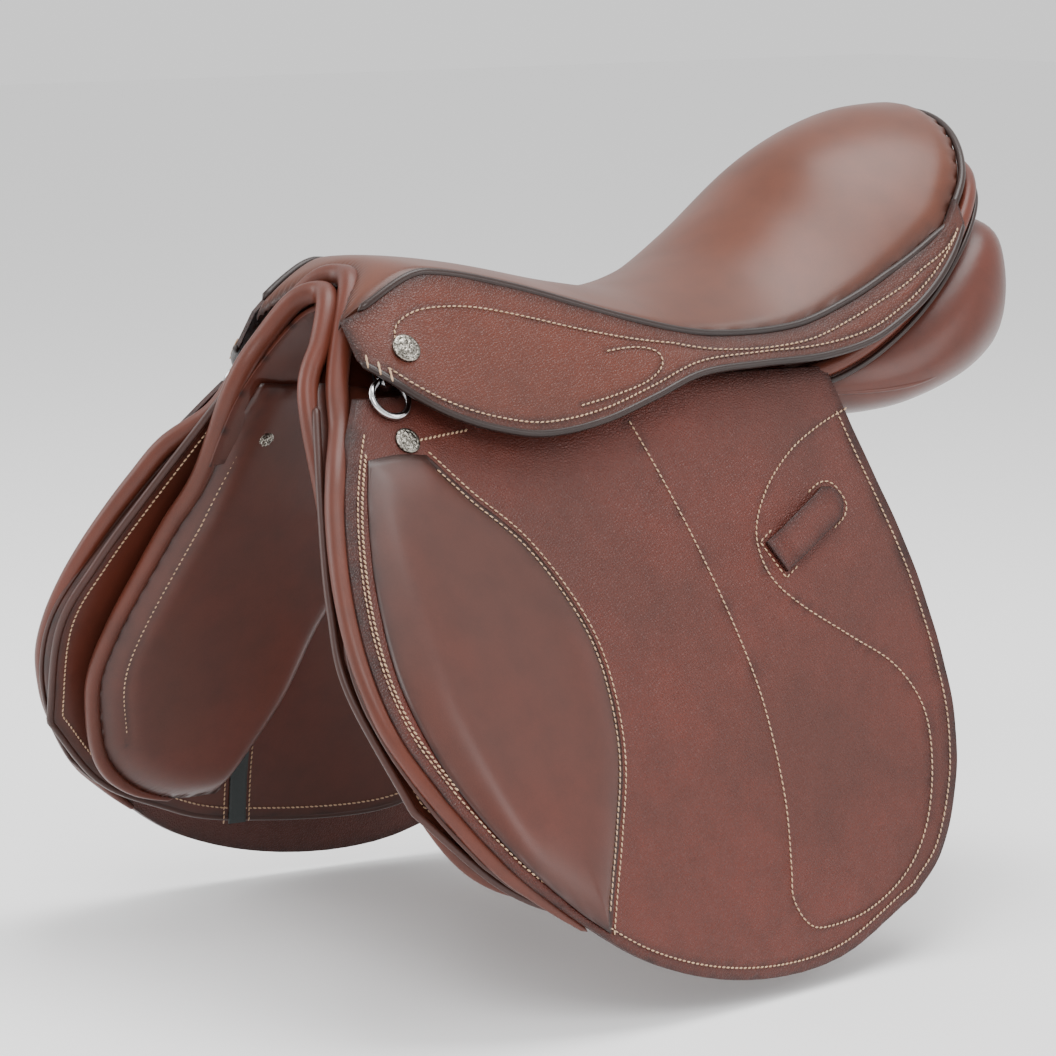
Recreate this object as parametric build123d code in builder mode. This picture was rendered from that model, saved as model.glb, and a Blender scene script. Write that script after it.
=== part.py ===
"""English jumping saddle, near side on +X, pommel towards -Y, millimetres.

z = 0 is the level at which the panels bear on the back; the saddle is symmetric about x = 0.
Every side layer (flap, sweat flap, billets, skirt) is the same flared surface moved sideways, and
every seat layer (leather, foam, webbing, tree) is the same dished surface moved down.
"""
import os
from math import atan2, degrees, sqrt

from build123d import *

# driving dimensions
seat_length = 442.0        # skirt stud to the middle of the cantle
flap_drop = 300.0          # lowest point of the flap below the bearing level
half_spread = 94.0         # half the distance between the flaps at the bearing level, mid saddle
seat_low = 61.0            # height of the deepest point of the seat
flap_thickness = 5.0
skirt_thickness = 4.0
skirt_stand_off = 14.0     # sideways gap between flap head and skirt, for the stirrup bar
seat_leather_thickness = 3.0
foam_thickness = 13.0
webbing_thickness = 1.6
tree_thickness = 8.0
tree_side_thickness = 8.0
sweat_flap_thickness = 4.0
sweat_flap_depth = 22.0    # from the flap's outer face to the sweat flap's outer face
block_thickness = 13.0
knee_pad_thickness = 8.0
panel_thickness = 20.0
panel_top_thickness = 7.0  # of the panel where it lines the head arch
gullet_half_width = 32.0
billet_width = 25.0
billet_thickness = 4.0
billet_pitch = 48.0
billet_hole_radius = 2.5
billet_hole_pitch = 22.0
billet_holes = 9
bar_length = 92.0
bar_height = 12.0
bar_thickness = 4.0
bar_plate_thickness = 3.0
latch_length = 26.0
latch_pin_radius = 1.6
head_plate_thickness = 3.5
head_plate_width = 30.0
spring_width = 12.0
spring_thickness = 1.5
dee_ring_radius = 11.0
dee_wire_radius = 1.9
dee_play = 0.6             # of the ring's wire inside its staple
staple_width = 6.0
staple_wall = 2.4          # of the staple above and below the ring's tunnel
stud_radius = 8.2
stud_height = 2.6
keeper_width = 19.0
keeper_length = 62.0
keeper_thickness = 3.0
roll_radius = 5.0

# clearances
layer_gap = 0.3            # between layers of different pieces
bend_gap = 0.7             # extra room where a flat piece lies against a curved layer
side_lean = 1.12           # sideways shift of a side layer for each millimetre along its normal
hinge_gap = 1.5            # width of the crease line where a leather piece bends
pin_clearance = 0.05       # radial, latch on its pin
flap_hinge_below_skirt = 9.0
billet_end_above_flap = 26.0

# heights
skirt_hinge_z = 36.0
skirt_lowest_z = -6.0
flap_hinge_z = skirt_lowest_z - flap_hinge_below_skirt
billet_pivot_z = -38.0
billet_row_y = 0.03 * seat_length

# stations along the saddle (shares of the seat length) and the seat's dip, crown and skirt there
seat_line = [(-0.56, -14, 50), (-0.48, 9, 34), (-0.42, 23, 22), (-0.385, 26, 17), (-0.27, 20, 25),
             (-0.10, 5, 29), (0.014, 0, 30), (0.14, 14, 38), (0.23, 42, 52), (0.32, 75, 66),
             (0.43, 94, 60), (0.52, 98, 50), (0.57, 98, 50)]
skirt_edge = [(-0.532, 40), (-0.473, 19), (-0.414, 7), (-0.348, -2), (-0.285, skirt_lowest_z),
              (-0.197, -2), (-0.11, 8), (-0.027, 19), (0.066, 22), (0.158, 24), (0.237, 31),
              (0.30, 44), (0.35, 57)]
seat_edge = [(-0.532, 52), (-0.48, 50), (-0.40, 43), (-0.30, 50), (-0.10, 70), (0.03, 83),
             (0.14, 92), (0.24, 96), (0.33, 97), (0.41, 95), (0.48, 76)]


def along(share):
    """Place along the saddle for a share of the seat length."""
    return share * seat_length


def down(share):
    """Height for a share of the flap's drop."""
    return -share * flap_drop


def side_x(y, z, out=0.0):
    """The flap's outer face, moved sideways by out: it flares downwards and narrows forwards."""
    h = -z / 100
    v = y / 100
    return half_spread + out + 49 * h - 3.7 * h ** 2 + 14.2 * v - 8 * v * h + 2.3 * v ** 2


def side_slope(y, z):
    """Sideways growth of the flap's outer face per millimetre downwards and backwards."""
    h = -z / 100
    v = y / 100
    return (49 - 7.4 * h - 8 * v) / 100, (14.2 - 8 * h + 4.6 * v) / 100


def side_plane(y, z, out=0.0):
    """Plane lying on a side layer, x to the back of the saddle and y upwards along the leather."""
    per_down, per_back = side_slope(y, z)
    normal = Vector(1, -per_back, per_down).normalized()
    return Plane(origin=(side_x(y, z, out), y, z), x_dir=(per_back, 1, 0), z_dir=normal)


def cross_plane(y):
    """Plane across the saddle at y, with local x to the near side and local y upwards."""
    return Plane(origin=(0, y, 0), x_dir=(1, 0, 0), z_dir=(0, -1, 0))


def side_curve(y, z_low, z_high, out, top_shift=0.0):
    """Three control points of the side surface between two heights, its top moved by top_shift."""
    low = side_x(y, z_low, out)
    per_down, _ = side_slope(y, z_low)
    half = (z_high - z_low) / 2
    return [(low, z_low), (low - per_down * half + top_shift / 2, z_low + half),
            (side_x(y, z_high, out) + top_shift, z_high)]


def side_sheet(stations, z_low, z_high, outer, thickness, thinner_top=0.0):
    """Leather layer on the side surface over a whole rectangle, to be cut to its outline."""
    with BuildPart() as sheet:
        for y in stations:
            with BuildSketch(cross_plane(y)):
                with BuildLine():
                    face = Bezier(*side_curve(y, z_low, z_high, outer))
                    back = Bezier(*side_curve(y, z_low, z_high, outer - thickness, thinner_top))
                    Line(face @ 0, back @ 0)
                    Line(face @ 1, back @ 1)
                make_face()
        loft()
    return sheet.part


def cut_outline(sheet, draw):
    """Keep the part of a sheet inside the outline that draw makes in the side view."""
    with BuildPart() as piece:
        add(sheet)
        with BuildSketch(Plane.YZ):
            with BuildLine():
                draw()
            make_face()
        extrude(amount=2 * half_spread + flap_drop, mode=Mode.INTERSECT)
    return piece.part


def keep_between(part, z_low, z_high):
    """Keep the part of a piece between two heights."""
    span = 4 * seat_length
    with BuildPart() as piece:
        add(part)
        with Locations((0, 0, (z_low + z_high) / 2)):
            Box(span, span, z_high - z_low, mode=Mode.INTERSECT)
    return piece.part


def interpolate(table, share, column=1):
    """Value of a station table between its rows."""
    rows = sorted(table)
    for low, high in zip(rows, rows[1:]):
        if share <= high[0]:
            part = (share - low[0]) / (high[0] - low[0])
            return low[column] + part * (high[column] - low[column])
    return rows[-1][column]


def save(part, name):
    """Label one piece and write its file."""
    part.label = name
    export_step(part, f"parts/{name}.step")


def save_pair(part, name):
    """Write the near side's piece and its mirror image for the off side."""
    save(part, f"{name}_left")
    with BuildPart() as other:
        mirror(part, about=Plane.YZ)
    save(other.part, f"{name}_right")


def both_sides(part):
    """One group with the near side's pieces and their mirror images."""
    with BuildPart() as group:
        add(part)
        mirror(about=Plane.YZ)
    return group.part


# seat layers

seat_reach = 1.4 * half_spread


def seat_sheet(depth, thickness, stations=seat_line):
    """Dished layer lying depth below the seat's surface, wider than any outline cut from it."""
    with BuildPart() as sheet:
        for share, rise, crown in stations:
            top = seat_low + rise - depth
            fall = crown * (seat_reach / 100) ** 2
            with BuildSketch(cross_plane(along(share))):
                with BuildLine():
                    upper = Bezier((-seat_reach, top - fall), (0, top + fall), (seat_reach, top - fall))
                    lower = Bezier((-seat_reach, top - fall - thickness), (0, top + fall - thickness),
                                   (seat_reach, top - fall - thickness))
                    Line(upper @ 0, lower @ 0)
                    Line(upper @ 1, lower @ 1)
                make_face()
        loft()
    return sheet.part


def seat_outline(inset=0.0):
    """Plan of the seat: a notch over the head, a narrow waist and a round cantle."""
    front_y = along(seat_edge[0][0]) + 2 * inset
    edge = [(width - inset, along(share)) for share, width in seat_edge]
    near = [(edge[0][0], front_y)] + [place for place in edge[1:] if place[1] > front_y + inset]
    far = [(-x, y) for x, y in near]
    front = along(-0.42) + inset
    back = along(0.545) - inset
    Spline(*near, (0, back), *reversed(far))
    Line(near[0], (near[0][0] - 2 * roll_radius, near[0][1]))
    Line(far[0], (far[0][0] + 2 * roll_radius, far[0][1]))
    Spline((near[0][0] - 2 * roll_radius, near[0][1]), (0, front), (far[0][0] + 2 * roll_radius, far[0][1]))


def seat_layer(depth, thickness, inset):
    """Layer of the seat cut to the seat's plan."""
    with BuildPart() as layer:
        add(seat_sheet(depth, thickness))
        with BuildSketch(Plane.XY.offset(-flap_drop)):
            with BuildLine():
                seat_outline(inset)
            make_face()
        extrude(amount=2 * flap_drop, mode=Mode.INTERSECT)
    return layer.part


foam_depth = seat_leather_thickness + layer_gap
webbing_depth = foam_depth + foam_thickness + layer_gap
tree_depth = webbing_depth + webbing_thickness + layer_gap
under_tree_depth = tree_depth + tree_thickness + layer_gap
foam_inset = 12.0
webbing_half_width = 25.0
tree_opening_half_width = 18.0
facing_height = 40.0


def make_seat_leather():
    save(seat_layer(0, seat_leather_thickness, 0), "seat_leather")


def make_seat_foam():
    with BuildPart() as foam:
        add(seat_layer(foam_depth, foam_thickness, foam_inset))
        for place in roll_places:
            add(stuffed_roll(*place, roll_radius + layer_gap), mode=Mode.SUBTRACT)
    save(foam.part, "seat_foam")


def make_cantle_facing():
    """Leather wall that closes the cantle below the rim of the seat."""
    with BuildPart() as facing:
        add(seat_sheet(foam_depth, facing_height))
        with BuildSketch(Plane.XY.offset(-flap_drop)):
            with BuildLine():
                seat_outline(layer_gap)
            make_face()
            with BuildLine():
                seat_outline(layer_gap + seat_leather_thickness)
            make_face(mode=Mode.SUBTRACT)
            with Locations((0, along(0.48))):
                Rectangle(4 * half_spread, along(0.2), mode=Mode.INTERSECT)
        extrude(amount=2 * flap_drop, mode=Mode.INTERSECT)
    save(facing.part, "cantle_facing")


def make_seat_webbing():
    """Two canvas straps along the tree and three across it, in one plane."""
    with BuildPart() as webbing:
        add(seat_sheet(webbing_depth, webbing_thickness))
        with BuildSketch(Plane.XY.offset(-flap_drop)):
            with Locations((0, along(0.04))):
                Rectangle(2 * webbing_half_width, along(0.78))
            for share in (-0.24, 0.0, 0.24):
                with Locations((0, along(share))):
                    Rectangle(2 * webbing_half_width + 45, 2 * webbing_half_width)
        extrude(amount=2 * flap_drop, mode=Mode.INTERSECT)
    save(webbing.part, "seat_webbing")


# the tree and its steel

tree_rail_out = -(flap_thickness + bar_plate_thickness) * side_lean - 3 * bend_gap
tree_rail_front = along(-0.375)
tree_rail_back = along(-0.125)
tree_rail_low = -12.0
tree_rail_high = 48.0


def tree_plan():
    """Plan of the laminated tree, without its opening."""
    near = [(34, along(-0.415)), (50, along(-0.22)), (60, along(-0.02)), (82, along(0.2)),
            (88, along(0.33)), (66, along(0.44))]
    far = [(-x, y) for x, y in near]
    Spline(*near, (0, along(0.49)), *reversed(far))
    Line(near[0], far[0])


def make_tree():
    """Tree shell with its long opening, and the side rails that carry the stirrup bars."""
    rails = side_sheet([tree_rail_front, (tree_rail_front + tree_rail_back) / 2, tree_rail_back],
                       tree_rail_low, tree_rail_high, tree_rail_out, tree_side_thickness)
    below_top = seat_sheet(tree_depth, flap_drop)
    with BuildPart() as rail_pair:
        add(both_sides(rails))
        add(below_top, mode=Mode.INTERSECT)
    with BuildPart() as tree:
        add(seat_sheet(tree_depth, tree_thickness))
        with BuildSketch(Plane.XY.offset(-flap_drop)):
            with BuildLine():
                tree_plan()
            make_face()
            with Locations((0, along(0.12))):
                SlotOverall(along(0.5), 2 * tree_opening_half_width, rotation=90, mode=Mode.SUBTRACT)
        extrude(amount=2 * flap_drop, mode=Mode.INTERSECT)
        add(rail_pair.part)
        add(both_sides(bar_rivets()), mode=Mode.SUBTRACT)
    save(tree.part, "tree_shell")


head_y = along(-0.40)
head_out = -31.0
head_low = -45.0
shoulder_width_share = 0.62    # of the arch's width at its leg's top
shoulder_height_share = 0.86   # of the arch's height


def head_profile(top, out):
    """One face of the head arch in the plane across the saddle."""
    leg = [(side_x(head_y, z, out), z) for z in (head_low, head_low / 3, 22)]
    shoulder = (shoulder_width_share * leg[-1][0], shoulder_height_share * top)
    near = [*leg, shoulder]
    far = [(-x, z) for x, z in near]
    return Spline(*near, (0, top), *reversed(far))


head_top = 55.0


def make_head_plate():
    """Steel arch that spreads the head of the tree over the withers."""
    with BuildPart() as plate:
        with BuildSketch(cross_plane(head_y - head_plate_width / 2)):
            with BuildLine():
                outside = head_profile(head_top, head_out)
                inside = head_profile(head_top - head_plate_thickness, head_out - head_plate_thickness)
                Line(outside @ 0, inside @ 0)
                Line(outside @ 1, inside @ 1)
            make_face()
        extrude(amount=-head_plate_width)
    save(plate.part, "head_plate")


def make_gullet_plate():
    """Short arch under the head plate, one plate thickness below it."""
    depth = head_plate_thickness + layer_gap
    with BuildPart() as plate:
        with BuildSketch(cross_plane(head_y - head_plate_width / 3)):
            with BuildLine():
                outside = head_profile(head_top - depth, head_out - depth)
                inside = head_profile(head_top - depth - head_plate_thickness,
                                      head_out - depth - head_plate_thickness)
                Line(outside @ 0, inside @ 0)
                Line(outside @ 1, inside @ 1)
            make_face()
        extrude(amount=-head_plate_width * 2 / 3)
        with Locations((0, head_y, head_top)):
            Box(1.3 * half_spread, 2 * head_plate_width, 2 * head_top, mode=Mode.INTERSECT)
    save(plate.part, "gullet_plate")


spring_x = tree_opening_half_width + 2.0 + spring_width / 2


def make_springs():
    """Flat spring steels that run under the tree from the head to the cantle."""
    with BuildPart() as spring:
        add(seat_sheet(under_tree_depth, spring_thickness))
        with BuildSketch(Plane.XY.offset(-flap_drop)):
            with Locations((spring_x, along(-0.01))):
                Rectangle(spring_width, along(0.60))
        extrude(amount=2 * flap_drop, mode=Mode.INTERSECT)
    save_pair(spring.part, "tree_spring")


# stirrup bars

bar_y = along(-0.25)
bar_z = 9.0
bar_foot_length = 16.0
bar_plate_length = 52.0
bar_plate_overhang = 8.0   # of the riveted plate in front of the bar's foot
bar_latch_joint_y = bar_length / 2 - latch_length
bar_plane = side_plane(bar_y, bar_z)
strap_gap = skirt_stand_off / side_lean - bar_thickness - bend_gap - layer_gap


def make_stirrup_bar():
    """Forged bar on a riveted plate: closed at its front foot, open to the back."""
    with BuildPart() as bar:
        with BuildSketch(bar_plane.offset(strap_gap)):
            with Locations((-latch_length / 2, 0)):
                SlotOverall(bar_length - latch_length, bar_height)
        extrude(amount=bar_thickness)
        with BuildSketch(bar_plane.offset(-flap_thickness - bar_plate_thickness)):
            with Locations((-bar_length / 2 + bar_foot_length / 2, 0)):
                Rectangle(bar_foot_length, bar_height)
        extrude(amount=flap_thickness + bar_plate_thickness + strap_gap + bar_thickness / 2)
        with BuildSketch(bar_plane.offset(-flap_thickness - bar_plate_thickness - layer_gap)):
            with Locations(((bar_plate_length - bar_length) / 2 - bar_plate_overhang, 0)):
                RectangleRounded(bar_plate_length, 2 * bar_height, bar_height / 2)
        extrude(amount=bar_plate_thickness - layer_gap)
        with BuildSketch(bar_plane.offset(strap_gap - 1)):
            with Locations((bar_latch_joint_y, 0)):
                Circle(latch_pin_radius + pin_clearance)
        extrude(amount=bar_thickness + 2, mode=Mode.SUBTRACT)
        with BuildSketch(bar_plane.offset(strap_gap + bar_thickness / 2)):
            with Locations((bar_latch_joint_y, 0)):
                Circle(bar_height / 2 + layer_gap)
        extrude(amount=bar_thickness, mode=Mode.SUBTRACT)
        add(bar_rivets(), mode=Mode.SUBTRACT)
    save_pair(bar.part, "stirrup_bar")


def make_bar_latch():
    """Thumb catch that lies in line with the bar and turns up to hold the leather."""
    with BuildPart() as latch:
        with BuildSketch(bar_plane.offset(strap_gap + bar_thickness / 2 + layer_gap)):
            with Locations((bar_latch_joint_y, 0)):
                Circle(bar_height / 2)
            with Locations((bar_latch_joint_y + latch_length / 2, 0)):
                Rectangle(latch_length, bar_height * 0.7)
            with Locations((bar_latch_joint_y + latch_length, 0)):
                Circle(bar_height * 0.35)
            with Locations((bar_latch_joint_y, 0)):
                Circle(latch_pin_radius + pin_clearance, mode=Mode.SUBTRACT)
        extrude(amount=bar_thickness / 2 - layer_gap)
    save_pair(latch.part, "bar_latch")


def make_latch_pins():
    """Pins of both latches, one through each bar."""
    with BuildPart() as pin:
        with BuildSketch(bar_plane.offset(strap_gap)):
            with Locations((bar_latch_joint_y, 0)):
                Circle(latch_pin_radius)
        extrude(amount=bar_thickness)
    save(both_sides(pin.part), "latch_pins")


def bar_rivets():
    """Rivets that hold one bar's plate to the tree rail."""
    with BuildPart() as rivets:
        with BuildSketch(bar_plane.offset(-flap_thickness - layer_gap)):
            with Locations((-bar_length / 2 + 34, 6), (-bar_length / 2 + 34, -6)):
                Circle(2.2)
        extrude(amount=-bar_plate_thickness - tree_side_thickness)
    return rivets.part


# side leathers

flap_stations = [along(share) for share in (-0.67, -0.45, -0.2, 0.05, 0.3)]
sheet_top = 60.0
flap_head_top = 22.0


def flap_outline():
    """Forward-cut flap of a jumping saddle, from the skirt down and round."""
    Spline((along(-0.515), flap_head_top), (along(-0.60), down(0.137)), (along(-0.646), down(0.38)),
           (along(-0.60), down(0.597)), (along(-0.495), down(0.773)), (along(-0.35), down(0.917)),
           (along(-0.183), down(0.99)), (along(-0.01), down(0.993)), (along(0.15), down(0.913)),
           (along(0.242), down(0.757)), (along(0.267), down(0.537)), (along(0.21), down(0.1)),
           (along(0.187), flap_head_top))
    Line((along(0.187), flap_head_top), (along(-0.515), flap_head_top))


def make_flap():
    """Flap below its crease, free to lift; the head above it stays on the tree."""
    sheet = side_sheet(flap_stations, -flap_drop - 10, sheet_top, 0, flap_thickness)
    whole = cut_outline(sheet, flap_outline)
    save_pair(keep_between(whole, -flap_drop - 10, flap_hinge_z - hinge_gap / 2), "flap")
    head = keep_between(whole, flap_hinge_z + hinge_gap / 2, sheet_top)
    with BuildPart() as flap_head:
        add(head)
        with BuildSketch(bar_plane.offset(-2 * flap_thickness)):
            with Locations((-bar_length / 2 + bar_foot_length / 2, 0)):
                Rectangle(bar_foot_length + 2 * layer_gap, bar_height + 2 * layer_gap)
        extrude(amount=4 * flap_thickness, mode=Mode.SUBTRACT)
    save_pair(flap_head.part, "flap_head")


def knee_pad_outline():
    """Stuffed pad on the front of the flap, set in from the flap's edge."""
    Spline((along(-0.545), flap_hinge_z - 4), (along(-0.62), down(0.25)), (along(-0.62), down(0.43)),
           (along(-0.56), down(0.62)), (along(-0.42), down(0.81)))
    Spline((along(-0.42), down(0.81)), (along(-0.34), down(0.6)), (along(-0.295), down(0.4)),
           (along(-0.315), down(0.2)), (along(-0.40), flap_hinge_z - 10))
    Line((along(-0.40), flap_hinge_z - 10), (along(-0.545), flap_hinge_z - 4))


def make_knee_pad():
    sheet = side_sheet(flap_stations, -flap_drop, flap_hinge_z - hinge_gap, knee_pad_thickness,
                       knee_pad_thickness - layer_gap)
    save_pair(cut_outline(sheet, knee_pad_outline), "knee_pad")


keeper_y = along(0.09)
keeper_z = down(0.23)
keeper_tilt = degrees(atan2(34, 60))
keeper_stand = 2.5         # room under the strap for the leather's end
keeper_free_share = 0.62   # of the strap's length that stands clear of the flap


def make_keeper_loop():
    """Flat strap stitched down at both ends, under which the stirrup leather's end is tucked."""
    base = side_plane(keeper_y, keeper_z, layer_gap + bend_gap)
    with BuildPart() as loop:
        with BuildSketch(base):
            with Locations(Location((0, 0, 0), (0, 0, keeper_tilt))):
                SlotOverall(keeper_length, keeper_width)
        extrude(amount=keeper_thickness + keeper_stand)
        with BuildSketch(base.offset(-keeper_stand)):
            with Locations(Location((0, 0, 0), (0, 0, keeper_tilt))):
                Rectangle(keeper_length * keeper_free_share, 2 * keeper_width)
        extrude(amount=2 * keeper_stand, mode=Mode.SUBTRACT)
    save_pair(loop.part, "keeper_loop")


skirt_out = skirt_stand_off + skirt_thickness


def skirt_row(share, low):
    """Place, lower edge, upper edge and lean of the top against the seat at one station."""
    y = along(share)
    width = interpolate(seat_edge, share)
    seat_z = seat_low + interpolate(seat_line, share) - interpolate(seat_line, share, 2) * (width / 100) ** 2
    high = max(seat_z - seat_leather_thickness - layer_gap, low + 2)
    return y, low, high, width + bend_gap - side_x(y, high, skirt_stand_off)


def skirt_face(share, z):
    """Sideways place of the skirt's outer face, measured from the flap's."""
    _, low, high, lean = skirt_row(share, interpolate(skirt_edge, share))
    return skirt_out + lean * (z - low) / (high - low)


def make_skirt():
    """Skirt below its crease, free to lift, and its fixed crown along the seat."""
    with BuildPart() as skirt:
        for share, edge in skirt_edge:
            y, low, high, lean = skirt_row(share, edge)
            with BuildSketch(cross_plane(y)):
                with BuildLine():
                    face = Bezier(*side_curve(y, low, high, skirt_out, lean))
                    back = Bezier(*side_curve(y, low, high, skirt_stand_off, lean))
                    Line(face @ 0, back @ 0)
                    Line(face @ 1, back @ 1)
                make_face()
        loft()
    lower = keep_between(skirt.part, -flap_drop, skirt_hinge_z - hinge_gap / 2)
    crown = keep_between(skirt.part, skirt_hinge_z + hinge_gap / 2, flap_drop)
    save_pair(lower, "skirt")
    save_pair(crown, "skirt_crown")


sweat_out = -sweat_flap_depth


def sweat_flap_outline():
    """Sweat flap, reaching in front of the flap and hidden behind it elsewhere."""
    Spline((along(-0.53), 24), (along(-0.60), down(0.15)), (along(-0.655), down(0.42)),
           (along(-0.62), down(0.62)), (along(-0.52), down(0.76)), (along(-0.30), down(0.88)),
           (along(-0.05), down(0.90)), (along(0.09), down(0.80)), (along(0.14), down(0.5)),
           (along(0.13), down(0.06)))
    Line((along(0.13), down(0.06)), (along(-0.53), 24))


def make_sweat_flap():
    sheet = side_sheet(flap_stations, -flap_drop, sheet_top, sweat_out, sweat_flap_thickness)
    save_pair(cut_outline(sheet, sweat_flap_outline), "sweat_flap")


block_out = -flap_thickness - 2.0


def knee_block_outline():
    """Long foam block in front of the knee."""
    Spline((along(-0.55), down(0.12)), (along(-0.61), down(0.38)), (along(-0.56), down(0.60)),
           (along(-0.50), down(0.66)), (along(-0.47), down(0.55)), (along(-0.49), down(0.35)),
           (along(-0.48), down(0.12)))
    Line((along(-0.48), down(0.12)), (along(-0.55), down(0.12)))


def make_knee_block():
    sheet = side_sheet(flap_stations, -flap_drop, 0, block_out, block_thickness)
    save_pair(cut_outline(sheet, knee_block_outline), "knee_block")


# girth billets

billet_out = -(flap_thickness + sweat_flap_depth - billet_thickness) / 2
billet_tip_z = -flap_drop + billet_end_above_flap
web_gap = 1.0
web_top_z = 14.0


def billet_places():
    """The three billets' places along the saddle, front to back."""
    return [("front", billet_row_y - billet_pitch), ("middle", billet_row_y),
            ("rear", billet_row_y + billet_pitch)]


def make_billet_web():
    """Doubled canvas web that hangs from the tree and carries the billets."""
    low = billet_pivot_z + billet_width / 2 + web_gap
    front = billet_row_y - billet_pitch - billet_width / 2
    back = billet_row_y + billet_pitch + billet_width / 2
    sheet = side_sheet([front, billet_row_y, back], low, web_top_z, billet_out, billet_thickness)
    save_pair(sheet, "billet_web")


def make_billet(name, y):
    """Strap with a round top at its fold, a pointed end and punched holes."""
    half = billet_width / 2
    sheet = side_sheet([y - half, y, y + half], billet_tip_z, billet_pivot_z + half,
                       billet_out, billet_thickness)
    with BuildPart() as billet:
        add(sheet)
        with BuildSketch(Plane.YZ):
            with BuildLine():
                Line((y - half, billet_pivot_z), (y - half, billet_tip_z + billet_width))
                Line((y - half, billet_tip_z + billet_width), (y, billet_tip_z))
                Line((y, billet_tip_z), (y + half, billet_tip_z + billet_width))
                Line((y + half, billet_tip_z + billet_width), (y + half, billet_pivot_z))
                ThreePointArc((y + half, billet_pivot_z), (y, billet_pivot_z + half),
                              (y - half, billet_pivot_z))
            make_face()
            first = billet_tip_z + 1.6 * billet_width
            for hole in range(billet_holes):
                with Locations((y, first + hole * billet_hole_pitch)):
                    Circle(billet_hole_radius, mode=Mode.SUBTRACT)
        extrude(amount=2 * half_spread + flap_drop, mode=Mode.INTERSECT)
    save_pair(billet.part, f"billet_{name}")


# panels

panel_out = -37.0
panel_rows = [  # share of length, outer side, outer and inner bottom, sink of the top
    (-0.36, 44, 16, 20, 0), (-0.25, 46, 8, 12, 0), (-0.10, 54, 0, 2, 0), (0.0, 61, -4, -2, 0),
    (0.10, 71, -8, -6, 0), (0.20, 94, -10, -8, 0), (0.32, 108, -8, -8, 0), (0.43, 106, 4, -2, 0),
    (0.50, 94, 14, 6, 6), (0.555, 80, 24, 14, 26), (0.60, 66, 36, 32, 48),
]


def panel_front_outline():
    """Flat part of the panel that lies behind the sweat flap, down to the knee."""
    Spline((along(-0.53), 0), (along(-0.575), down(0.25)), (along(-0.60), down(0.50)),
           (along(-0.56), down(0.68)), (along(-0.47), down(0.79)), (along(-0.36), down(0.81)),
           (along(-0.31), down(0.70)), (along(-0.29), down(0.50)), (along(-0.22), down(0.30)),
           (along(-0.05), down(0.18)))
    Line((along(-0.05), down(0.18)), (along(-0.05), 0))
    Line((along(-0.05), 0), (along(-0.53), 0))


def panel_corners(share, outer, outer_low, inner_low, sink):
    """Corners of the cushion's section beside the gullet: inner and outer, top and bottom."""
    depth = under_tree_depth + spring_thickness + layer_gap
    rise = seat_low + interpolate(seat_line, share) - depth - sink
    crown = interpolate(seat_line, share, 2)
    inner_high = rise - crown * (gullet_half_width / 100) ** 2
    outer_high = max(rise - crown * (outer / 100) ** 2, outer_low + 14)
    return [(gullet_half_width, inner_high), (outer, outer_high), (outer, outer_low),
            (gullet_half_width, inner_low)]


def cantle_room():
    """Space inside and under the cantle facing, which the panel leaves free."""
    with BuildPart() as room:
        add(seat_layer(0, foam_depth + facing_height + layer_gap, -layer_gap))
        with Locations((0, along(0.48), seat_low)):
            Box(4 * half_spread, along(0.2) + layer_gap, 2 * flap_drop, mode=Mode.INTERSECT)
    return room.part


def side_room():
    """Space beside the saddle taken by the tree rails, the billet webs and the flap heads."""
    inner = tree_rail_out - tree_side_thickness - bend_gap
    back = billet_row_y + billet_pitch + billet_width / 2 + bend_gap
    return side_sheet([along(-0.5), along(-0.2), back], tree_rail_low - billet_width, sheet_top,
                      half_spread, half_spread - inner)


def make_panel():
    """Wool-stuffed panel: a cushion beside the gullet and a flat front behind the sweat flap."""
    sheet = side_sheet(flap_stations, -flap_drop, 0, panel_out, panel_thickness,
                       panel_thickness - panel_top_thickness)
    front = cut_outline(sheet, panel_front_outline)
    bulge = 10.0
    with BuildPart() as panel:
        for share, *row in panel_rows:
            inner_top, outer_top, outer_end, inner_end = panel_corners(share, *row)
            middle = (inner_top[0] + outer_top[0]) / 2
            with BuildSketch(cross_plane(along(share))):
                with BuildLine():
                    Bezier(inner_top, (middle, (inner_top[1] + outer_top[1]) / 2), outer_top)
                    Bezier(outer_top, (outer_top[0] + bulge, (outer_top[1] + outer_end[1]) / 2), outer_end)
                    Bezier(outer_end, (middle, inner_end[1] - bulge), inner_end)
                    Line(inner_end, inner_top)
                make_face()
        loft()
        add(seat_sheet(under_tree_depth + spring_thickness + layer_gap, flap_drop), mode=Mode.INTERSECT)
        add(cantle_room(), mode=Mode.SUBTRACT)
        add(side_room(), mode=Mode.SUBTRACT)
        add(front)
    save_pair(panel.part, "panel")


# hardware and trims

def disc_on_side(y, z, out, radius, height):
    """Domed cap standing on a side layer."""
    with BuildPart() as cap:
        with BuildSketch(side_plane(y, z, out)):
            Circle(radius)
        extrude(amount=height)
        top = cap.faces().sort_by(Axis.X)[-1]
        fillet(top.edges(), height * 0.6)
    return cap.part


skirt_stud_share = -0.448
skirt_stud_z = 43.0
flap_stud_place = (along(-0.468), -5.5)
dee_place = (along(-0.473), 15.0)
arch_button_place = (along(-0.485), -16.0)


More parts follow.
